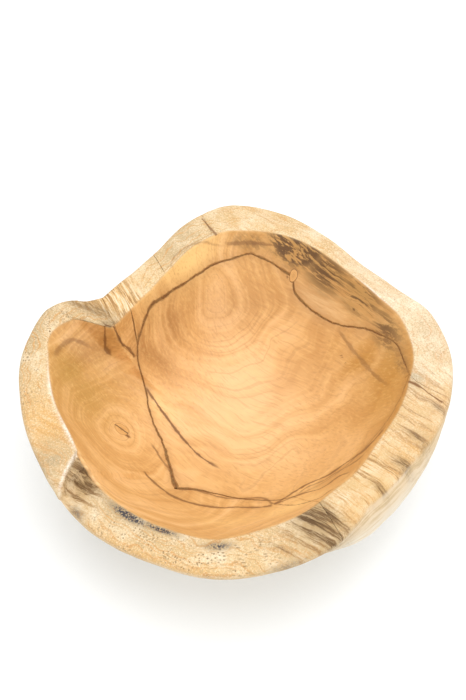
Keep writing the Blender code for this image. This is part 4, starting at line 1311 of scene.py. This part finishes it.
def shaved_shell(wood, unrolled):
    """Colour of the outside: long soft streaks round the bowl, browner up by the rim."""
    strokes = wood.noise(wood.lined_up(wood.warp(unrolled, 30.0, 0.008), stretch=(14, 1, 1)), 330.0, 4.0, 0.6)
    _, _, height = wood.node("ShaderNodeSeparateXYZ", [(0, unrolled)]).outputs
    by_the_rim = wood.ramp(wood.plus(height, wood.times(strokes, 0.05)), 0.088, 0.128)
    colour = wood.mix(wood.ramp(strokes, 0.36, 0.64, 0.25, 1.0), CREAM, SHELL_GREY)
    colour = wood.mix(wood.times(by_the_rim, wood.ramp(strokes, 0.35, 0.6, 0.9, 0.6)), colour, STRAW)
    colour = wood.mix(wood.times(by_the_rim, wood.ramp(strokes, 0.40, 0.55, 0.5, 0.0)), colour, ASH_GREY)
    return wood.mix(wood.ramp(strokes, 0.32, 0.44, 0.25, 0.0), colour, ASH_GREY)


# %% [markdown]
# ## Veins, seams and the finish of a root
#
# Thin brown veins mark where bark once grew in. They are read from the stored distances and shaken
# by noise, so that they break up like real ones. Each root is one body of wood, so one finish covers
# its hollow, its rim and its outside, and blends between them by the stored zone.

# %% The whole finish of one root


def veined(wood, colour, name, width, wander):
    """A vein: dark within about width millimetres of the stored line, with a faint brown halo."""
    distance, strength, _ = wood.stored(name)
    strength = wood.times(strength, wood.math("SUBTRACT", 1.0, wood.stored("zone")[1]))
    shake = wood.math("SUBTRACT", wood.noise(wood.place, 300.0, 3.0, 0.6), 0.5)
    apart = wood.math("ABSOLUTE", wood.math("MULTIPLY_ADD", shake, wander, distance))
    swell = wood.ramp(wood.noise(wood.place, 90.0, 2.0), 0.3, 0.7, 0.5 * width, 1.5 * width)
    halo = wood.times(strength, wood.ramp(apart, 0.0, wood.times(swell, 2.4), 0.35, 0.0))
    colour = wood.mix(halo, colour, BROWN)
    core = wood.times(strength, wood.ramp(apart, wood.times(swell, 0.3), swell, 0.9, 0.0))
    return wood.mix(core, colour, VEIN_BROWN)


VEINS = (("brown_veins", 1.4, 1.6), ("thin_veins", 1.0, 1.4), ("fringe_veins", 0.75, 2.0))


def root_wood(name, pith, turn, ring_scale, grain_bearing):
    """Hollow, rim and outside of one root. The pith is a point, turn leans its axis from straight up, and
    the fibres run along the grain bearing."""
    wood = Finish(name)
    on_rim, outside, _ = wood.stored("zone")
    spalt, _, _ = wood.stored("stains")
    seam_apart, seam_half_mm, inside = wood.stored("seam")
    unrolled = wood.stored_vector("unrolled")
    in_hollow = wood.math("SUBTRACT", 1.0, on_rim)

    grain = (0, 0, math.radians(grain_bearing))
    colour, fibre = figured(wood, pith, tuple(math.radians(a) for a in turn), ring_scale, grain)
    colour = decayed(wood, colour, spalt)
    rim, rim_height = bare_rim(wood, unrolled, grain)
    rim = wood.mix(outside, rim, shaved_shell(wood, unrolled))
    colour = wood.mix(on_rim, colour, rim)
    for veins, width, wander in VEINS:
        colour = veined(wood, colour, veins, width, wander)

    shake = wood.math("SUBTRACT", wood.noise(wood.place, 350.0, 3.0, 0.6), 0.5)
    beside = wood.math("SUBTRACT", wood.math("ABSOLUTE", seam_apart), seam_half_mm)
    beside = wood.math("MULTIPLY_ADD", shake, 1.6, beside)
    stained = wood.times(wood.ramp(beside, -0.1, 0.4, 0.5, 0.0), in_hollow)
    colour = wood.mix(wood.times(wood.ramp(beside, 0.0, 5.0, 0.28, 0.0), in_hollow), colour, BROWN)
    colour = wood.mix(stained, colour, VEIN_BROWN)
    colour = wood.mix(inside, colour, DEEP_HONEY)

    roughness = wood.plus(wood.times(on_rim, 0.42), wood.ramp(fibre, 0.3, 0.7, 0.36, 0.46))
    hollow_height = wood.math("SUBTRACT", wood.times(fibre, 0.06), wood.times(stained, 0.10))
    height = wood.plus(wood.times(rim_height, on_rim), wood.times(hollow_height, in_hollow))
    return wood.coat(colour, roughness, height, 0.0007)


finishes = {
    "heart_wood": root_wood("heart_wood_finish", (-0.008, 0.092, 0.066), (52, 0, 9), 75.0, -37),
    "back_wood": root_wood("back_wood_finish", (0.07, 0.125, 0.070), (86, 0, 46), 110.0, -40),
    "lobe_wood": root_wood("lobe_wood_finish", (-0.081, -0.021, 0.050), (-12, 45, 0), 85.0, -30),
    "wedge_wood": root_wood("wedge_wood_finish", (-0.10, 0.09, 0.05), (80, 0, 30), 130.0, -60),
    "patch_wood": root_wood("patch_wood_finish", (0.02, 0.16, 0.12), (88, 0, -60), 150.0, -75),
}

# %% [markdown]
# ## Bark and knots
#
# The filling in the seams is crushed bark set in hardened sap: dark brown, crumbly and dull, with
# olive grains, and thin at its edges where the wood shows through. A knot is the same teak, but
# dense, in tight rings round its own pith, with a ring of bark where it meets the wood. The left
# knot is nearly as pale as the root, and a dark check has opened across it.

# %% Bark and knot finishes


def bark_finish():
    """Crumbly bark: lumps and grains of three browns, ragged where the ribbon thins at its edges."""
    bark = Finish("bark_finish", 0.3)
    grains = bark.noise(bark.place, 900.0, 4.0, 0.7)
    lumps = bark.noise(bark.place, 240.0, 3.0, 0.6)
    across = bark.node("ShaderNodeAttribute", [], attribute_name="across").outputs["Fac"]
    colour = bark.mix(bark.ramp(lumps, 0.38, 0.62), VEIN_BROWN, OLIVE_BROWN)
    colour = bark.mix(bark.ramp(grains, 0.34, 0.48, 0.75, 0.0), colour, UMBER)
    colour = bark.mix(bark.ramp(grains, 0.55, 0.70, 0.0, 0.8), colour, SPALT_GREY)
    ragged = bark.plus(across, bark.times(bark.noise(bark.place, 500.0, 3.0, 0.65), 0.9))
    colour = bark.mix(bark.ramp(ragged, 0.85, 1.15, 0.0, 0.85), colour, BROWN)
    roughness = bark.ramp(grains, 0.3, 0.7, 0.6, 0.85)
    return bark.coat(colour, roughness, bark.plus(bark.times(grains, 0.5), bark.times(lumps, 0.5)), 0.0006)


def knot_finish(name, middle, rim_dark, check):
    """Rings from the middle of the knot out. rim_dark is its ring of bark, check the crack across it."""
    knotty = Finish(name)
    out = knotty.node("ShaderNodeAttribute", [], attribute_name="out").outputs["Fac"]
    angle = knotty.node("ShaderNodeAttribute", [], attribute_name="round").outputs["Fac"]
    shaken = knotty.math("MULTIPLY_ADD", knotty.noise(knotty.place, 500.0, 2.0), 0.2, out)
    rings = knotty.bands(shaken, 9.0)
    colour = knotty.mix(knotty.ramp(rings, 0.35, 0.65), DEEP_HONEY, HONEY)
    colour = knotty.mix(knotty.ramp(out, 0.0, 0.5, middle, 0.0), colour, BROWN)
    colour = knotty.mix(knotty.ramp(shaken, 0.92, 1.06, 0.0, rim_dark), colour, VEIN_BROWN)
    off_line = knotty.math("ABSOLUTE", knotty.times(out, knotty.math("SINE", knotty.plus(angle, 0.37))))
    ragged_line = knotty.plus(off_line, knotty.times(knotty.noise(knotty.place, 700.0), 0.2))
    opened = knotty.ramp(ragged_line, 0.10, 0.26, check, 0.0)
    colour = knotty.mix(opened, colour, UMBER)
    height = knotty.math("SUBTRACT", knotty.times(rings, 0.4), opened)
    return knotty.coat(colour, knotty.ramp(rings, 0.3, 0.7, 0.34, 0.5), height, 0.0003)


finishes["seam_filling"] = bark_finish()
knot_finishes = {
    "knot_back": knot_finish("back_knot_finish", 0.3, 0.9, 0.0),
    "knot_left": knot_finish("left_knot_finish", 0.7, 0.3, 1.0),
}
for piece, node, slot_name in PIECES:
    piece.data.materials.append(knot_finishes.get(node) or finishes[slot_name])
print("finishes:", ", ".join(sorted([*finishes, *knot_finishes])))

# %% [markdown]
# ## Floor, light and camera
#
# The bowl stands on a plain white floor under a very bright, soft sky of light, so that it throws
# hardly any shadow. One soft panel overhead and a smaller, weaker one to the front right give the wood
# its form. The camera looks down into the hollow at about 56 degrees, with a lens that keeps the
# perspective gentle.

# %% A white studio
ROOM = 4.0
floor_mesh = bpy.data.meshes.new("floor")
floor_mesh.from_pydata(
    [(-ROOM, -ROOM, 0), (ROOM, -ROOM, 0), (ROOM, ROOM, 0), (-ROOM, ROOM, 0)], [], [(0, 1, 2, 3)]
)
floor = bpy.data.objects.new("floor", floor_mesh)
bpy.context.scene.collection.objects.link(floor)
paper = Finish("white_paper", 0.1)
tooth = paper.noise(paper.place, 900.0, 2.0)
white = paper.mix(tooth, (0.915, 0.94, 0.965), (0.935, 0.96, 0.985))
floor_mesh.materials.append(paper.coat(white, 0.9, tooth, 0.00005))

sky = bpy.data.worlds.new("studio")
sky.use_nodes = True
sky.node_tree.nodes["Background"].inputs["Color"].default_value = (1.0, 0.995, 0.985, 1)
sky.node_tree.nodes["Background"].inputs["Strength"].default_value = 0.85
bpy.context.scene.world = sky


def panel(name, place, size, power, colour):
    """A square soft light that faces the middle of the bowl."""
    light = bpy.data.lights.new(name, "AREA")
    light.energy, light.size, light.color = power, size, colour
    made = bpy.data.objects.new(name, light)
    made.location = place
    made.rotation_euler = (Vector((0, 0, 0.05)) - Vector(place)).to_track_quat("-Z", "Y").to_euler()
    bpy.context.scene.collection.objects.link(made)


panel("overhead_panel", (0.0, 0.02, 1.5), 1.2, 12.0, (1.0, 0.99, 0.97))
panel("right_panel", (0.9, -0.6, 1.0), 0.7, 3.0, (1.0, 0.985, 0.96))

camera_data = bpy.data.cameras.new("camera")
camera_data.lens, camera_data.sensor_width = 60, 36
camera = bpy.data.objects.new("camera", camera_data)
aim = Vector((0, 0.0176, 0.10))
elevation, distance = math.radians(55.84), 0.8267
camera.location = aim + Vector((0, -math.cos(elevation), math.sin(elevation))) * distance
camera.rotation_euler = (math.pi / 2 - elevation, 0, 0)
bpy.context.scene.collection.objects.link(camera)
bpy.context.scene.camera = camera
bpy.context.scene.view_settings.view_transform = "Standard"
